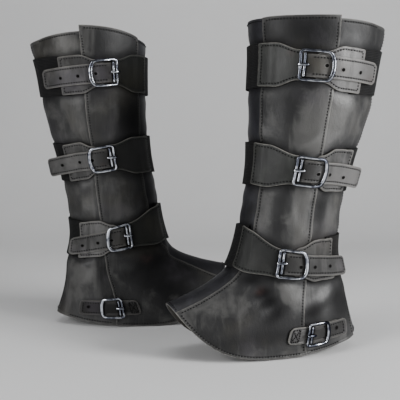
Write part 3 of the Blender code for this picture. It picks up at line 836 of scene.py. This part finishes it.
PANEL = leather("panel_leather", (0.0045, 0.0045, 0.005), (0.016, 0.016, 0.0165), (0.07, 0.069, 0.066))
INNER = leather(
    "inner_panel_leather", (0.004, 0.004, 0.0055), (0.009, 0.009, 0.012), (0.026, 0.026, 0.033), 0.44, 0.5
)
WING = leather("wing_leather", (0.008, 0.0085, 0.008), (0.017, 0.018, 0.0165), (0.042, 0.044, 0.04), 0.46)
TONGUE = leather("tongue_leather", (0.013, 0.0125, 0.012), (0.027, 0.0265, 0.026), (0.1, 0.097, 0.095), 0.47)
FLESH = flesh_side()
WEBBING = elastic_webbing()
THREAD_MATERIAL = waxed_thread()
STEEL = dark_chrome()
HOLE = hole_painted_shade()

# ---------------------------------------------------------------------------------------------
# Panels.

PANEL_PITCH = 2.8
PANEL_HEIGHT = 410.0
# A panel's width is measured this many degrees past its start.
GAUGE_TURN = 30
# The front panel's rim rises towards the closure over this many rows, and its stitches by this share.
RIM_RISE_ROWS = 0.5
RISE_AT_STITCHES = 0.86


def near_true(share, length, ends, scales):
    """Values between two ends, the outermost few at their true distances from them."""
    near = EDGE_STEPS[-1]
    (start, end), (start_scale, end_scale) = ends, scales
    from_start, from_end = share * length, (1 - share) * length
    inner_share = (from_start - near) / (length - 2 * near)
    inner = mix(start + near / start_scale, end - near / end_scale, inner_share)
    values = np.where(from_start < near, start + from_start / start_scale, inner)
    return np.where(from_end < near, end - from_end / end_scale, values)


def panel_grid(spat, start_at, end_at):
    """Angles, rows and distances from the cut edges, for a panel between two seams."""
    middle = LAST_ROW / 2
    start, end = float(start_at(middle)), float(end_at(middle))
    width = (end - start) * float(per_degree(spat, start + GAUGE_TURN, middle))
    columns = edge_spaced(width, PANEL_PITCH) / width
    heights = edge_spaced(PANEL_HEIGHT, PANEL_PITCH) / PANEL_HEIGHT
    share_a, share_r = np.meshgrid(columns, heights)
    row = share_r * LAST_ROW
    angle = mix(start_at(row), end_at(row), share_a)
    for _ in range(2):
        scales = per_row(spat, angle, 0.0), per_row(spat, angle, LAST_ROW - ROW_STEP)
        row = near_true(share_r, PANEL_HEIGHT, (0, LAST_ROW), scales)
        start, end = start_at(row), end_at(row)
        scales = per_degree(spat, start, row), per_degree(spat, end, row)
        angle = near_true(share_a, width, (start, end), scales)
    from_seam = np.minimum(share_a, 1 - share_a) * width
    from_rim = np.minimum(share_r, 1 - share_r) * PANEL_HEIGHT
    return angle, row, np.minimum(from_seam, from_rim)


def make_panel(spat, part, start_at, end_at, out_at, material, rise=0.0):
    angle, row, edge = panel_grid(spat, start_at, end_at)
    inner_out = out_at(angle) + crease_height(spat, angle, row)
    outer_out = inner_out + LEATHER
    chamfer(outer_out, inner_out, PANEL_CHAMFER)
    walls = [on_rows(spat, angle, row, out) for out in (outer_out, inner_out)]
    share = np.clip((angle - start_at(row)) / (end_at(row) - start_at(row)), 0, 1)
    for wall in walls:
        wall[..., 2] += rise * np.sqrt(share) * np.clip(1 - row / RIM_RISE_ROWS, 0, 1) * MM
    stain = stain_at(spat, angle, bare(spat, angle, row)[..., 2])
    attributes = {"edge": edge, "stain": stain, "tone": tone_at(spat, angle, row)}
    node = f"{spat.name}_{part}"
    shell = make_shell(f"{node}_leather", *walls, [material, FLESH], attributes, 1)
    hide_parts(node)
    return shell


def stitch_panel(spat, stitches, angle, row, out):
    """Stitches through angles and rows, on a panel that stands out this far."""
    out = out + crease_height(spat, angle, row) + LEATHER
    points, raised = on_rows(spat, angle, row, out), on_rows(spat, angle, row, out + 1)
    stitches.lines.append(resample(points, (raised - points) / MM, STITCH_PITCH * MM))


def stitch_rim_or_hem(spat, stitches, start, end, from_rim, out, rise=0.0):
    angle = np.linspace(start, end, 160)
    if from_rim:
        row = STITCH_INSET / per_row(spat, angle, 0.0)
    else:
        row = LAST_ROW - STITCH_INSET / per_row(spat, angle, LAST_ROW - ROW_STEP)
    stitch_panel(spat, stitches, angle, row, full(angle, out))
    if from_rim:
        centre = stitches.lines[-1][0]
        centre[:, 2] += rise * np.sqrt(np.linspace(0, 1, len(centre))) * RISE_AT_STITCHES * MM


def stitch_seam(spat, stitches, edge_at, side):
    """Stitches down a vertical edge: side is 1 where the panel lies at larger angles."""
    row = np.linspace(*SEAM_STITCH_ROWS, 300)
    angle = edge_at(row) + side * STITCH_INSET / per_degree(spat, edge_at(row), row)
    stitch_panel(spat, stitches, angle, row, full(angle, LAYER))


def make_panels(spat):
    """The three panels and their stitching."""

    def seam(row):
        return through(spat.seam, row)

    def closure(row):
        return through(spat.closure, row)

    def back(row):
        return spat.back + 0 * row

    def behind_seam(row):
        return seam(row) + FRONT_LAP

    def before_closure(row):
        return closure(row) - CLOSURE_LAP

    def before_back(row):
        return back(row) - BACK_LAP - 360

    def over_back(angle):
        lap = spat.back - BACK_LAP
        return LAYER * ease(lap - RAMP, lap, angle)

    def over_all(angle):
        return full(angle, LAYER)

    def under_all(angle):
        return full(angle, 0)

    front = make_panel(spat, "outer_front_panel", seam, closure, over_all, PANEL, spat.rim_rise)
    rear = make_panel(spat, "outer_rear_panel", before_closure, back, over_back, PANEL)
    inner = make_panel(spat, "inner_panel", before_back, behind_seam, under_all, INNER)

    stitches = Stitches()
    for edge_at, side in ((seam, 1), (closure, -1), (back, -1)):
        stitch_seam(spat, stitches, edge_at, side)
    for from_rim, row in ((True, 0.0), (False, float(LAST_ROW))):
        opening, closing = float(seam(row)), float(closure(row))
        first, last = opening + SEAM_CLEAR, closing - SEAM_CLEAR
        stitch_rim_or_hem(spat, stitches, first, last, from_rim, LAYER, spat.rim_rise)
        stitch_rim_or_hem(spat, stitches, closing + LAP_CLEAR, spat.back - BACK_LAP - RAMP, from_rim, 0)
        stitch_rim_or_hem(spat, stitches, spat.back - 360 + LAP_CLEAR, opening - INNER_CLEAR, from_rim, 0)
    stitches.make(f"{spat.name}_panel_stitches")
    return front, rear, inner


# ---------------------------------------------------------------------------------------------
# Straps.

# A strap's stations: angles and stand-offs of its two faces, its centre height, half width,
# distance from its near end and from its far end.
Stations = namedtuple("Stations", "angle_a angle_b off_a off_b centre half from_start from_end")
# Steps across every strap, and along the elastic, the leather and the hem tab.
STRIP_PITCH = 1.6
BAND_PITCH = 2.6
STRAP_PITCH = 2.0
TAB_PITCH = 1.4
# How round the corners are at each end of a piece.
BAND_RADII = (1.0, 1.0)
WING_RADII = (2.5, 0.5)
TAB_RADII = (6.5, 0.5)
HEM_ROOT_RADIUS = 4.0
STRAP_MIDDLE = 4.0
TIP_RADIUS = 7.0
HEM_TIP_RADIUS = 5.0
TONGUE_TOP = 2 * LEATHER + STRAP_GAP
# Painted shade on a strap inside its buckle, from the hinge bar to past the bow.
PAINTED_SHADE_IN_BUCKLE = -0.7
# Rows where a wing's and the hem tab's stitches are measured.
WING_ROW = 4.0
HEM_ROW = 7.5
# The fold takes the place of this many stations at both its ends, and this length of strap.
FOLD_SKIP = 6
FOLD_LENGTH = 6
FOLD_TURNS = np.linspace(-80, 80, 9)
# Each ring of a punched hole: its radius, and its height over the tongue's face.
HOLE_RINGS = np.array(
    ((0.0, 0.1), (1.5, 0.1), (2.0, 0.15), (2.2, 0.32), (2.5, 0.34), (2.9, 0.14), (3.1, -0.08))
)
HOLE_DISC_RINGS = 2
HOLE_SIDES = 20


def corner_distance(side, end, radius):
    """Distance from the outline near a rounded corner, from those to its side and end."""
    near_side, near_end = np.maximum(radius - side, 0), np.maximum(radius - end, 0)
    in_corner = (near_side > 0) & (near_end > 0)
    return np.where(in_corner, radius - np.hypot(near_side, near_end), np.minimum(side, end))


def rounded_half(half, from_end, radius):
    """The half width near an end whose corners are rounded."""
    inside = np.clip(radius - from_end, 0, radius)
    return half - (radius - np.sqrt(radius**2 - inside**2))


def make_strip(spat, node, stations, radii, material, tone=0.0):
    """A strap in its solid's place, through its stations, with its face a outside."""
    half = rounded_half(stations.half, stations.from_start, radii[0])
    half = rounded_half(half, stations.from_end, radii[1])[:, None]
    widest = float(stations.half.max())
    shares = np.clip(edge_spaced(2 * widest, STRIP_PITCH) / widest - 1, -1, 1)
    # Lines near the long sides keep their distance from them where the strap narrows.
    near = EDGE_STEPS[-1] * edge_shrink(2 * widest)
    from_side = (1 - np.abs(shares)) * widest
    beside = np.sign(shares) * np.maximum(half - from_side, 0)
    middle = np.clip(shares / (1 - near / widest), -1, 1) * np.maximum(half - near, 0)
    across = np.where(from_side < near, beside, middle)
    height = stations.centre[:, None] + across

    def spread(column):
        return np.reshape(column, (-1, 1)) * np.ones_like(across)

    angle_a, angle_b, off_a, off_b = map(spread, stations[:4])
    from_start, from_end = spread(stations.from_start), spread(stations.from_end)
    chamfer(off_a, off_b, STRIP_CHAMFER)
    chamfer(angle_a, angle_b, STRIP_CHAMFER)
    straight = stations.half[:, None] - np.abs(across)
    edge = corner_distance(straight, from_start, radii[0])
    edge = np.minimum(edge, corner_distance(straight, from_end, radii[1]))
    attributes = {"edge": np.maximum(edge, 0), "stain": stain_at(spat, angle_a, height)}
    attributes.update({"across": across, "along": from_start, "tone": spread(tone)})
    walls = on_heights(spat, angle_a, height, off_a), on_heights(spat, angle_b, height, off_b)
    kind, slot = ("webbing", "elastic") if material == WEBBING else ("leather", "strap_leather")
    piece = make_shell(f"{node}_{kind}", *walls, [material], attributes)
    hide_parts(node)
    return piece


def end_spaced_angles(spat, start, end, height, pitch=STRAP_PITCH):
    """Angles from start to end, close together at both ends, and each one's distance along."""
    sample = np.linspace(start, end, 200)
    points = on_heights(spat, sample, full(sample, height), full(sample, STRAP_MIDDLE)) / MM
    along = np.concatenate([[0], np.cumsum(length_of(np.diff(points, axis=0)))])
    wanted = edge_spaced(along[-1], pitch)
    return np.interp(wanted, along, sample), wanted, along[-1]


def flat_strip(spat, node, ends, height, pitch, strap_at, thickness, radii, material, tone=0.0):
    """A strap in one layer between two angles."""
    angle, along, total = end_spaced_angles(spat, *ends, height, pitch)
    centre, half, under = strap_at(angle)
    stations = Stations(angle, angle, under + thickness, under, centre, half, along, total - along)
    return make_strip(spat, node, stations, radii, material, tone)


def make_band(spat, number, strap):
    """The elastic, from under the front wing round the inner side to under the rear wing."""
    start, end = strap.front_end + BAND_TUCK, strap.rear_end - BAND_TUCK - 360

    def band_at(angle):
        centre = mix(strap.front_z, strap.rear_z, (angle - start) / (end - start))
        away = ease(strap.front_end + 2, strap.front_end - 12, angle) * ease(-100, -40, angle)
        return centre, full(angle, BAND_HALF), strap_out(spat, angle, centre) + SHIN_STAND_OFF * away

    node = f"{spat.name}_strap{number}_elastic"
    middle = (strap.front_z + strap.rear_z) / 2
    return flat_strip(spat, node, (start, end), middle, BAND_PITCH, band_at, ELASTIC, BAND_RADII, WEBBING)


def stitch_wing(spat, stitches, wing_at, line):
    """Stitches along both long sides of a wing, through the line's angles, and across its end."""
    centre, half, under = wing_at(line)
    reach, out = half - STITCH_INSET, under + LEATHER
    for height in (centre + reach, centre - reach):
        stitches.add(spat, line, height, out)
    down = np.linspace(centre[-1] + reach[-1], centre[-1] - reach[-1], 30)
    stitches.add(spat, full(down, line[-1]), down, full(down, out[-1]))


def make_front_wing(spat, number, strap, stitches):
    def wing_at(angle):
        centre = mix(strap.front_z, strap.bar_z, (angle - strap.front_end) / (strap.bar - strap.front_end))
        half = mix(WING_HALF, WING_NECK_HALF, ease(strap.bar - strap.neck, strap.bar - 1, angle))
        tuck = 1 - ease(strap.front_end + BAND_TUCK + 3, strap.front_end + 2 * BAND_TUCK + 2, angle)
        return centre, half, strap_out(spat, angle, centre) + (ELASTIC + STRAP_GAP) * tuck

    node = f"{spat.name}_strap{number}_front_wing"
    # The front wing's tone is painted light and shade, set strap by strap.
    ends, tone = (strap.front_end, strap.bar + 2), spat.wing_tones[number - 1]
    measures = STRAP_PITCH, wing_at, LEATHER, WING_RADII
    wing = flat_strip(spat, node, ends, strap.bar_z, *measures, WING, tone)
    last = strap.front_end + STITCH_INSET / float(per_degree(spat, strap.front_end + 3.0, WING_ROW))
    stitch_wing(spat, stitches, wing_at, np.linspace(strap.bar - 1.5, last, 80))
    return wing


def rear_lower_at(spat, strap, angle):
    """Centre, half width and underside of the rear wing."""
    share = (angle - strap.bar) / (strap.rear_end - strap.bar)
    centre = mix(strap.bar_z, strap.rear_z, share)
    half = mix(WING_NECK_HALF + 0.5, WING_HALF, ease(strap.bow - 7, strap.bow + 9, angle))
    half = mix(TONGUE_HALF, half, ease(strap.bow - 16, strap.bow - 7, angle))
    tuck = ease(strap.rear_end - 2 * BAND_TUCK, strap.rear_end - BAND_TUCK - 2, angle)
    under = strap_out(spat, angle, centre) + (ELASTIC + STRAP_GAP) * tuck
    return centre, half, under


def rear_upper_at(spat, strap, angle):
    """Centre, half width and underside of the layer below the tongue."""
    share = (angle - strap.bar) / (strap.tip - strap.bar)
    centre = mix(strap.bar_z, strap.tip_z, share)
    past = strap_out(spat, angle, centre) + ELASTIC + STRAP_GAP
    under = np.where(angle < strap.rear_end, rear_lower_at(spat, strap, angle)[2], past)
    under = under + strap.lift * ease(strap.rear_end - 15, strap.tip, angle)
    return centre, full(angle, TONGUE_HALF), under


def fold_angle(spat, strap):
    """Where the tongue folds back, past the hinge bar."""
    return strap.bar + FOLD_AHEAD / degree_at(spat, strap.bar, strap.bar_z)


def folded_stations(spat, strap, lower_at, upper_at, root):
    """From the root to the fold, round it, and back over itself to the tip."""
    fold = fold_angle(spat, strap)
    fold_centre, fold_half, fold_under = (value[0] for value in upper_at(np.array([fold])))
    low_z = float(lower_at(np.array([fold]))[0][0])
    angle, low_along, low_total = end_spaced_angles(spat, root, fold, low_z)
    angle, low_along = angle[:-FOLD_SKIP], low_along[:-FOLD_SKIP]
    centre, half, under = lower_at(angle)
    parts = [(angle, angle, under, under + LEATHER, centre, half)]

    middle = fold_under + LEATHER + STRAP_GAP / 2
    turn = np.radians(FOLD_TURNS)
    reach, lift = np.cos(turn) / degree_at(spat, fold, fold_centre), np.sin(turn)
    outside, inside = LEATHER + STRAP_GAP / 2, STRAP_GAP / 2
    angles = fold - outside * reach, fold - inside * reach
    offs = middle + outside * lift, middle + inside * lift
    parts.append((*angles, *offs, full(turn, fold_centre), full(turn, fold_half)))

    angle, high_along, high_total = end_spaced_angles(spat, fold, strap.tip, fold_centre)
    angle, high_along = angle[FOLD_SKIP:], high_along[FOLD_SKIP:]
    centre, half, under = upper_at(angle)
    under = under + LEATHER + STRAP_GAP
    parts.append((angle, angle, under + LEATHER, under, centre, half))

    turned = np.linspace(0, FOLD_LENGTH, len(turn))
    along = np.concatenate([low_along, low_total + turned, low_total + FOLD_LENGTH + high_along])
    total = low_total + FOLD_LENGTH + high_total
    return Stations(*(np.concatenate(column) for column in zip(*parts)), along, total - along)


def stitch_tongue(spat, stitches, upper_at, first, tip, radius):
    """Stitches along both sides of the tongue and round its tip."""
    scale = float(per_degree(spat, float(tip), WING_ROW))
    line = np.linspace(first, tip - radius / scale, 60)
    turn = np.radians(np.linspace(90, -90, 15))
    inset = radius - STITCH_INSET
    angle = np.concatenate([line, line[-1] + inset * np.cos(turn) / scale, line[::-1]])
    centre, half, under = upper_at(angle)
    side = half[0] - STITCH_INSET
    corner = (half[0] - radius) * np.sign(np.sin(turn)) + inset * np.sin(turn)
    across = np.concatenate([full(line, side), corner, full(line, -side)])
    stitches.add(spat, angle, centre + across, under + TONGUE_TOP)


def make_holes(spat, name, upper_at, holes, tone):
    """Punched holes: a dark disc of painted shade for the hollow, in a soft lip, on the tongue's face."""
    radius, lift = HOLE_RINGS[:, :1], HOLE_RINGS[:, 1:]
    turns = np.arange(HOLE_SIDES) * 2 * math.pi / HOLE_SIDES
    grid = np.arange(len(HOLE_RINGS) * HOLE_SIDES).reshape(-1, HOLE_SIDES)
    in_lip = np.arange(len(HOLE_RINGS) - 1) >= HOLE_DISC_RINGS
    chosen = np.repeat(in_lip.astype(np.int32), HOLE_SIDES)
    far = full(grid.reshape(-1), 9)
    attributes = {"edge": far, "stain": far * 0, "tone": full(far, tone)}
    for number, (angle, height) in enumerate(holes, start=1):
        around = angle + radius * np.cos(turns) / degree_at(spat, angle, height)
        out = upper_at(around)[2] + TONGUE_TOP + lift
        points = on_heights(spat, around, height + radius * np.sin(turns), out).reshape(-1, 3)
        materials = [HOLE, TONGUE]
        lip = make_piece(f"{name}_hole{number}", points, tube_faces(grid), materials, chosen, attributes)
        lip.data.validate()


def make_rear_strap(spat, number, strap, stitches):
    def lower_at(angle):
        return rear_lower_at(spat, strap, angle)

    def upper_at(angle):
        return rear_upper_at(spat, strap, angle)

    stations = folded_stations(spat, strap, lower_at, upper_at, strap.rear_end)
    # The tongue's and rear wing's tones are painted light and shade, set strap by strap.
    tongue_light_and_shade = spat.strap_tones[number - 1]
    under_fold = stations.off_a < stations.off_b
    tone = np.where(under_fold, spat.rear_wing_tones[number - 1], tongue_light_and_shade)
    # Painted shade darkens the strap inside the buckle.
    tone = mix(PAINTED_SHADE_IN_BUCKLE, tone, ease(strap.bar + 4, strap.bow + 4, stations.angle_a))
    node = f"{spat.name}_strap{number}_rear_strap"
    piece = make_strip(spat, node, stations, (WING_RADII[0], TIP_RADIUS), TONGUE, tone)

    stitch_tongue(spat, stitches, upper_at, strap.bar + 10, strap.tip, TIP_RADIUS)
    last = strap.rear_end - STITCH_INSET / float(per_degree(spat, strap.rear_end - 3.0, WING_ROW))
    stitch_wing(spat, stitches, lower_at, np.linspace(strap.bow - 4, last, 60))
    make_holes(spat, f"{spat.name}_strap{number}", upper_at, spat.holes[number - 1], tongue_light_and_shade)
    return piece


def level_out(spat, strap, angle):
    """How far the underside of a strap stands out at its hinge bar's height."""
    return strap_out(spat, angle, full(angle, strap.bar_z))


def stitch_box(spat, hem, stitches):
    """The crossed box of stitches on the hem tab."""
    scale = float(per_degree(spat, hem.tab_end + 3.0, HEM_ROW))
    first, last = hem.tab_end + BOX_INSET / scale, hem.tab_end + (BOX_INSET + BOX_LENGTH) / scale
    top, low = hem.bar_z + HEM_STRAP_HALF - BOX_INSET, hem.bar_z - HEM_STRAP_HALF + BOX_INSET
    corners = ((first, top), (last, top), (last, low), (first, low), (first, top))
    lines = list(zip(corners[:-1], corners[1:]))
    lines += [((first, top), (last, low)), ((first, low), (last, top))]
    for (angle_a, z_a), (angle_b, z_b) in lines:
        line = np.linspace(angle_a, angle_b, 12)
        out = level_out(spat, hem, line) + LEATHER
        stitches.add(spat, line, np.linspace(z_a, z_b, 12), out, BOX_PITCH)


def make_hem_strap(spat, hem, stitches):
    def tab_at(angle):
        return full(angle, hem.bar_z), full(angle, HEM_STRAP_HALF), level_out(spat, hem, angle)

    def tongue_at(angle):
        share = (angle - hem.bar) / (hem.tip - hem.bar)
        return mix(hem.bar_z, hem.tip_z, share), full(angle, HEM_STRAP_HALF), level_out(spat, hem, angle)

    name = f"{spat.name}_hem"
    # The hem tab's and hem tongue's tones are painted light and shade.
    tab_light_and_shade, tone = spat.strap_tones[-2:]
    ends = (hem.tab_end, hem.bar + 2)
    measures = TAB_PITCH, tab_at, LEATHER, TAB_RADII
    tab = flat_strip(spat, f"{name}_tab", ends, hem.bar_z, *measures, TONGUE, tab_light_and_shade)
    stitch_box(spat, hem, stitches)
    stations = folded_stations(spat, hem, tongue_at, tongue_at, hem.root)
    tongue = make_strip(spat, f"{name}_tongue", stations, (HEM_ROOT_RADIUS, HEM_TIP_RADIUS), TONGUE, tone)
    stitch_tongue(spat, stitches, tongue_at, hem.bar + 11, hem.tip, HEM_TIP_RADIUS)
    make_holes(spat, name, tongue_at, spat.holes[-1], tone - 0.8)
    return tab, tongue


# ---------------------------------------------------------------------------------------------
# Buckles.

WIRE_SIDES = 14
WIRE_SQUARENESS = 0.75
FRAME_RINGS = 112
# Half sizes of the wires' sections; the frame is broader at its bow and the prong thins to its tip.
FRAME_WIDTH = 1.7
BOW_EXTRA = 0.8
FRAME_DEPTH = 1.55
BAR_RADIUS = 1.5
PRONG_RADII = (1.7, 1.4)
PRONG_OVAL = (1.05, 0.9)
# The frame's bow is at this share of the way, and the inner bar stops short of the frame's sides.
BOW_SHARE = 0.95
BAR_CLEAR = 1.1
BAR_LIFT = 0.2
PRONG_LIFT = 1.2
# The prong's line, from behind the hinge to its tip: distance past the hinge, and lift.
PRONG_ROUTE = ((-1.9, -1.0), (-1.2, 0.0), (0.0, 0.35), (2.5, 0.5), (BAR_PITCH, 0.4), (7.0, 0.0), (8.6, -0.4))


def smooth_loop(points, count):
    """A closed curve through points, as count points evenly spaced by their order."""
    size = len(points)
    at = np.linspace(0, size, count, endpoint=False)
    k = at.astype(int)
    t = (at - k)[:, None]
    before, here, there, beyond = (points[(k + shift) % size] for shift in (-1, 0, 1, 2))
    return 0.5 * (
        2 * here
        + (there - before) * t
        + (2 * before - 5 * here + 4 * there - beyond) * t**2
        + (3 * here - 3 * there + beyond - before) * t**3
    )


def sweep(node, path, up, widths, heights, closed):
    """A steel wire: oval in section, widths across and heights along up, both half sizes."""
    ahead = np.roll(path, -1, axis=0) - np.roll(path, 1, axis=0)
    if not closed:
        ahead[0], ahead[-1] = path[1] - path[0], path[-1] - path[-2]
    ahead = unit(ahead)
    across = unit(np.cross(ahead, up))
    rise = np.cross(across, ahead)
    turns = np.arange(WIRE_SIDES) * 2 * math.pi / WIRE_SIDES
    cosine, sine = (np.sign(v) * np.abs(v) ** WIRE_SQUARENESS for v in (np.cos(turns), np.sin(turns)))
    vertices = path[:, None] + across[:, None] * (cosine[:, None] * widths[:, None, None] * MM)
    vertices = vertices + rise[:, None] * (sine[:, None] * heights[:, None, None] * MM)
    grid = np.arange(len(path) * WIRE_SIDES).reshape(-1, WIRE_SIDES)
    rings = np.concatenate([grid, grid[:1]]) if closed else grid
    faces = np.roll(tube_faces(rings)[:, ::-1], 1, axis=1).tolist()
    if not closed:
        faces += [grid[0, ::-1].tolist(), grid[-1].tolist()]
    thing = add_mesh(f"{node}_steel", vertices.reshape(-1, 3).tolist(), faces, [STEEL])
    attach(thing, "root")
    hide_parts(node)


def frame_outline(half):
    """The D of a buckle's frame as (share from bar to bow, height) pairs, with round corners."""
    corner = 0.09
    outline = [(0.0, -half * 0.5), (0.0, half * 0.5), (0.0, half * 0.86), (corner, half)]
    outline += [(0.35, half), (0.65, half * 0.99), (0.86, half * 0.92)]
    outline += [(0.96, half * 0.62), (1.0, half * 0.22)]
    return outline + [(share, -height) for share, height in outline[::-1][:-2]]


def make_buckle(spat, name, strap, half):
    """The frame, its inner bar and its prong, over the strap."""
    share, height = np.transpose(frame_outline(half))
    angle = mix(strap.bar, strap.bow, share * BOW_SHARE)
    wire_out = LEATHER + STRAP_GAP + WIRE
    out = level_out(spat, strap, angle) + wire_out + (LEATHER + STRAP_GAP) * ease(0.1, 0.6, share)
    bow_z = mix(strap.bar_z, strap.tip_z, (strap.bow - strap.bar) / (strap.tip - strap.bar))
    path, up = path_on(spat, angle, mix(strap.bar_z, bow_z, share) + height, out)
    path, up, share = (smooth_loop(values, FRAME_RINGS) for values in (path, up, share[:, None]))
    widths = FRAME_WIDTH + BOW_EXTRA * ease(0.75, 1.0, share[:, 0])
    sweep(f"{name}_frame", path, up, widths, full(widths, FRAME_DEPTH), True)

    scale = degree_at(spat, strap.bar, strap.bar_z)
    bar_out = float(level_out(spat, strap, np.array([strap.bar]))[0]) + wire_out
    reach = half - WIRE - BAR_CLEAR
    z = strap.bar_z + np.linspace(-reach, reach, 17)
    path, up = path_on(spat, full(z, strap.bar + BAR_PITCH / scale), z, full(z, bar_out + BAR_LIFT))
    sweep(f"{name}_bar", path, up, full(z, BAR_RADIUS), full(z, BAR_RADIUS), False)

    steps = np.linspace(0, 1, 25)
    marks = np.linspace(0, 1, len(PRONG_ROUTE))
    ahead, lift = (np.interp(steps, marks, column) for column in zip(*PRONG_ROUTE))
    out = bar_out + WIRE + PRONG_LIFT + SEAM_GAP + lift
    path, up = path_on(spat, strap.bar + ahead / scale, full(out, strap.bar_z), out)
    taper = mix(*PRONG_RADII, ease(0.4, 1.0, steps)) * np.sqrt(np.clip((1.05 - steps) / 0.12, 0.25, 1))
    sweep(f"{name}_prong", path, up, taper * PRONG_OVAL[0], taper * PRONG_OVAL[1], False)


# ---------------------------------------------------------------------------------------------
# The pair.

# Width and length in metres, area in square metres.
Cut = namedtuple("Cut", "width length area")


def make_spat(spat):
    panels = make_panels(spat)
    front, rear, inner = panels
    for part, piece in zip(("outer_front_panel", "outer_rear_panel", "inner_panel"), panels):
        [other for other in panels if other != piece]
    stitches = Stitches()
    for number, strap in enumerate(spat.straps, start=1):
        band = make_band(spat, number, strap)
        wing = make_front_wing(spat, number, strap, stitches)
        rear_strap = make_rear_strap(spat, number, strap, stitches)
        make_buckle(spat, f"{spat.name}_buckle{number}", strap, FRAME_HALF)
    tab, tongue = make_hem_strap(spat, spat.hem_strap, stitches)
    make_buckle(spat, f"{spat.name}_hem_buckle", spat.hem_strap, HEM_FRAME_HALF)
    stitches.make(f"{spat.name}_strap_stitches")


for each in (LEFT, RIGHT):
    make_spat(each)


# ---------------------------------------------------------------------------------------------
# Floor, light and camera.


# In metres: the floor's half width, how near it starts, where its bend starts and how big it is.
FLOOR_HALF = 4.0
FLOOR_NEAR = -3.0
BEND_AT = 0.9
BEND_RADIUS = 0.8
WALL_HEIGHT = 4.0
FLOOR_GAP = 0.001
# In degrees, how far the camera looks down.
CAMERA_DOWN = 4.894


def make_floor(height):
    """A pale floor that sweeps up behind the spats."""
    s = Shader("pale_floor")
    tone = s.blend(s.noise(6, detail=3), (0.78, 0.78, 0.78), (0.82, 0.82, 0.82))
    material = s.finish(tone, 0.8, s.bump(s.noise(400, detail=2), 0.0002, 0.2))
    profile = [(FLOOR_NEAR, 0.0), (BEND_AT, 0.0)]
    for turn in np.linspace(0.1, math.pi / 2, 12):
        profile.append((BEND_AT + BEND_RADIUS * math.sin(turn), BEND_RADIUS * (1 - math.cos(turn))))
    profile.append((BEND_AT + BEND_RADIUS, WALL_HEIGHT))
    vertices = [(x, y, height + z) for y, z in profile for x in (-FLOOR_HALF, FLOOR_HALF)]
    faces = [(k, k + 1, k + 3, k + 2) for k in range(0, len(vertices) - 2, 2)]
    add_mesh("floor", vertices, faces, [material])


def add_light(name, location, target, size, power):
    lamp = bpy.data.lights.new(name, "AREA")
    lamp.shape = "RECTANGLE"
    lamp.size, lamp.size_y = size
    lamp.energy = power
    thing = add_object(name, lamp)
    thing.location = location
    thing.rotation_euler = (Vector(target) - Vector(location)).to_track_quat("-Z", "Y").to_euler()


def light_scene():
    world = bpy.data.worlds.new("studio")
    world.use_nodes = True
    background = world.node_tree.nodes["Background"]
    background.inputs["Color"].default_value = (0.75, 0.78, 0.82, 1)
    background.inputs["Strength"].default_value = 0.1
    bpy.context.scene.world = world
    middle = (-0.1, 0.05, 0.05)
    add_light("right_key", (1.32, -0.75, 0.5), middle, (0.6, 1.1), 38)
    add_light("left_fill", (-1.2, -1.1, 0.55), middle, (0.6, 1.2), 16)
    add_light("top", (-0.1, -0.4, 1.9), middle, (1.4, 0.8), 9)


def add_camera():
    camera_data = bpy.data.cameras.new("camera")
    camera_data.lens = 72
    camera_data.sensor_width = 36
    camera = add_object("camera", camera_data)
    camera.location = (-0.106, -0.9795, 0.143)
    camera.rotation_euler = (math.radians(90 - CAMERA_DOWN), 0, 0)
    bpy.context.scene.camera = camera


make_floor(cad_box[0].z - FLOOR_GAP)
light_scene()
add_camera()
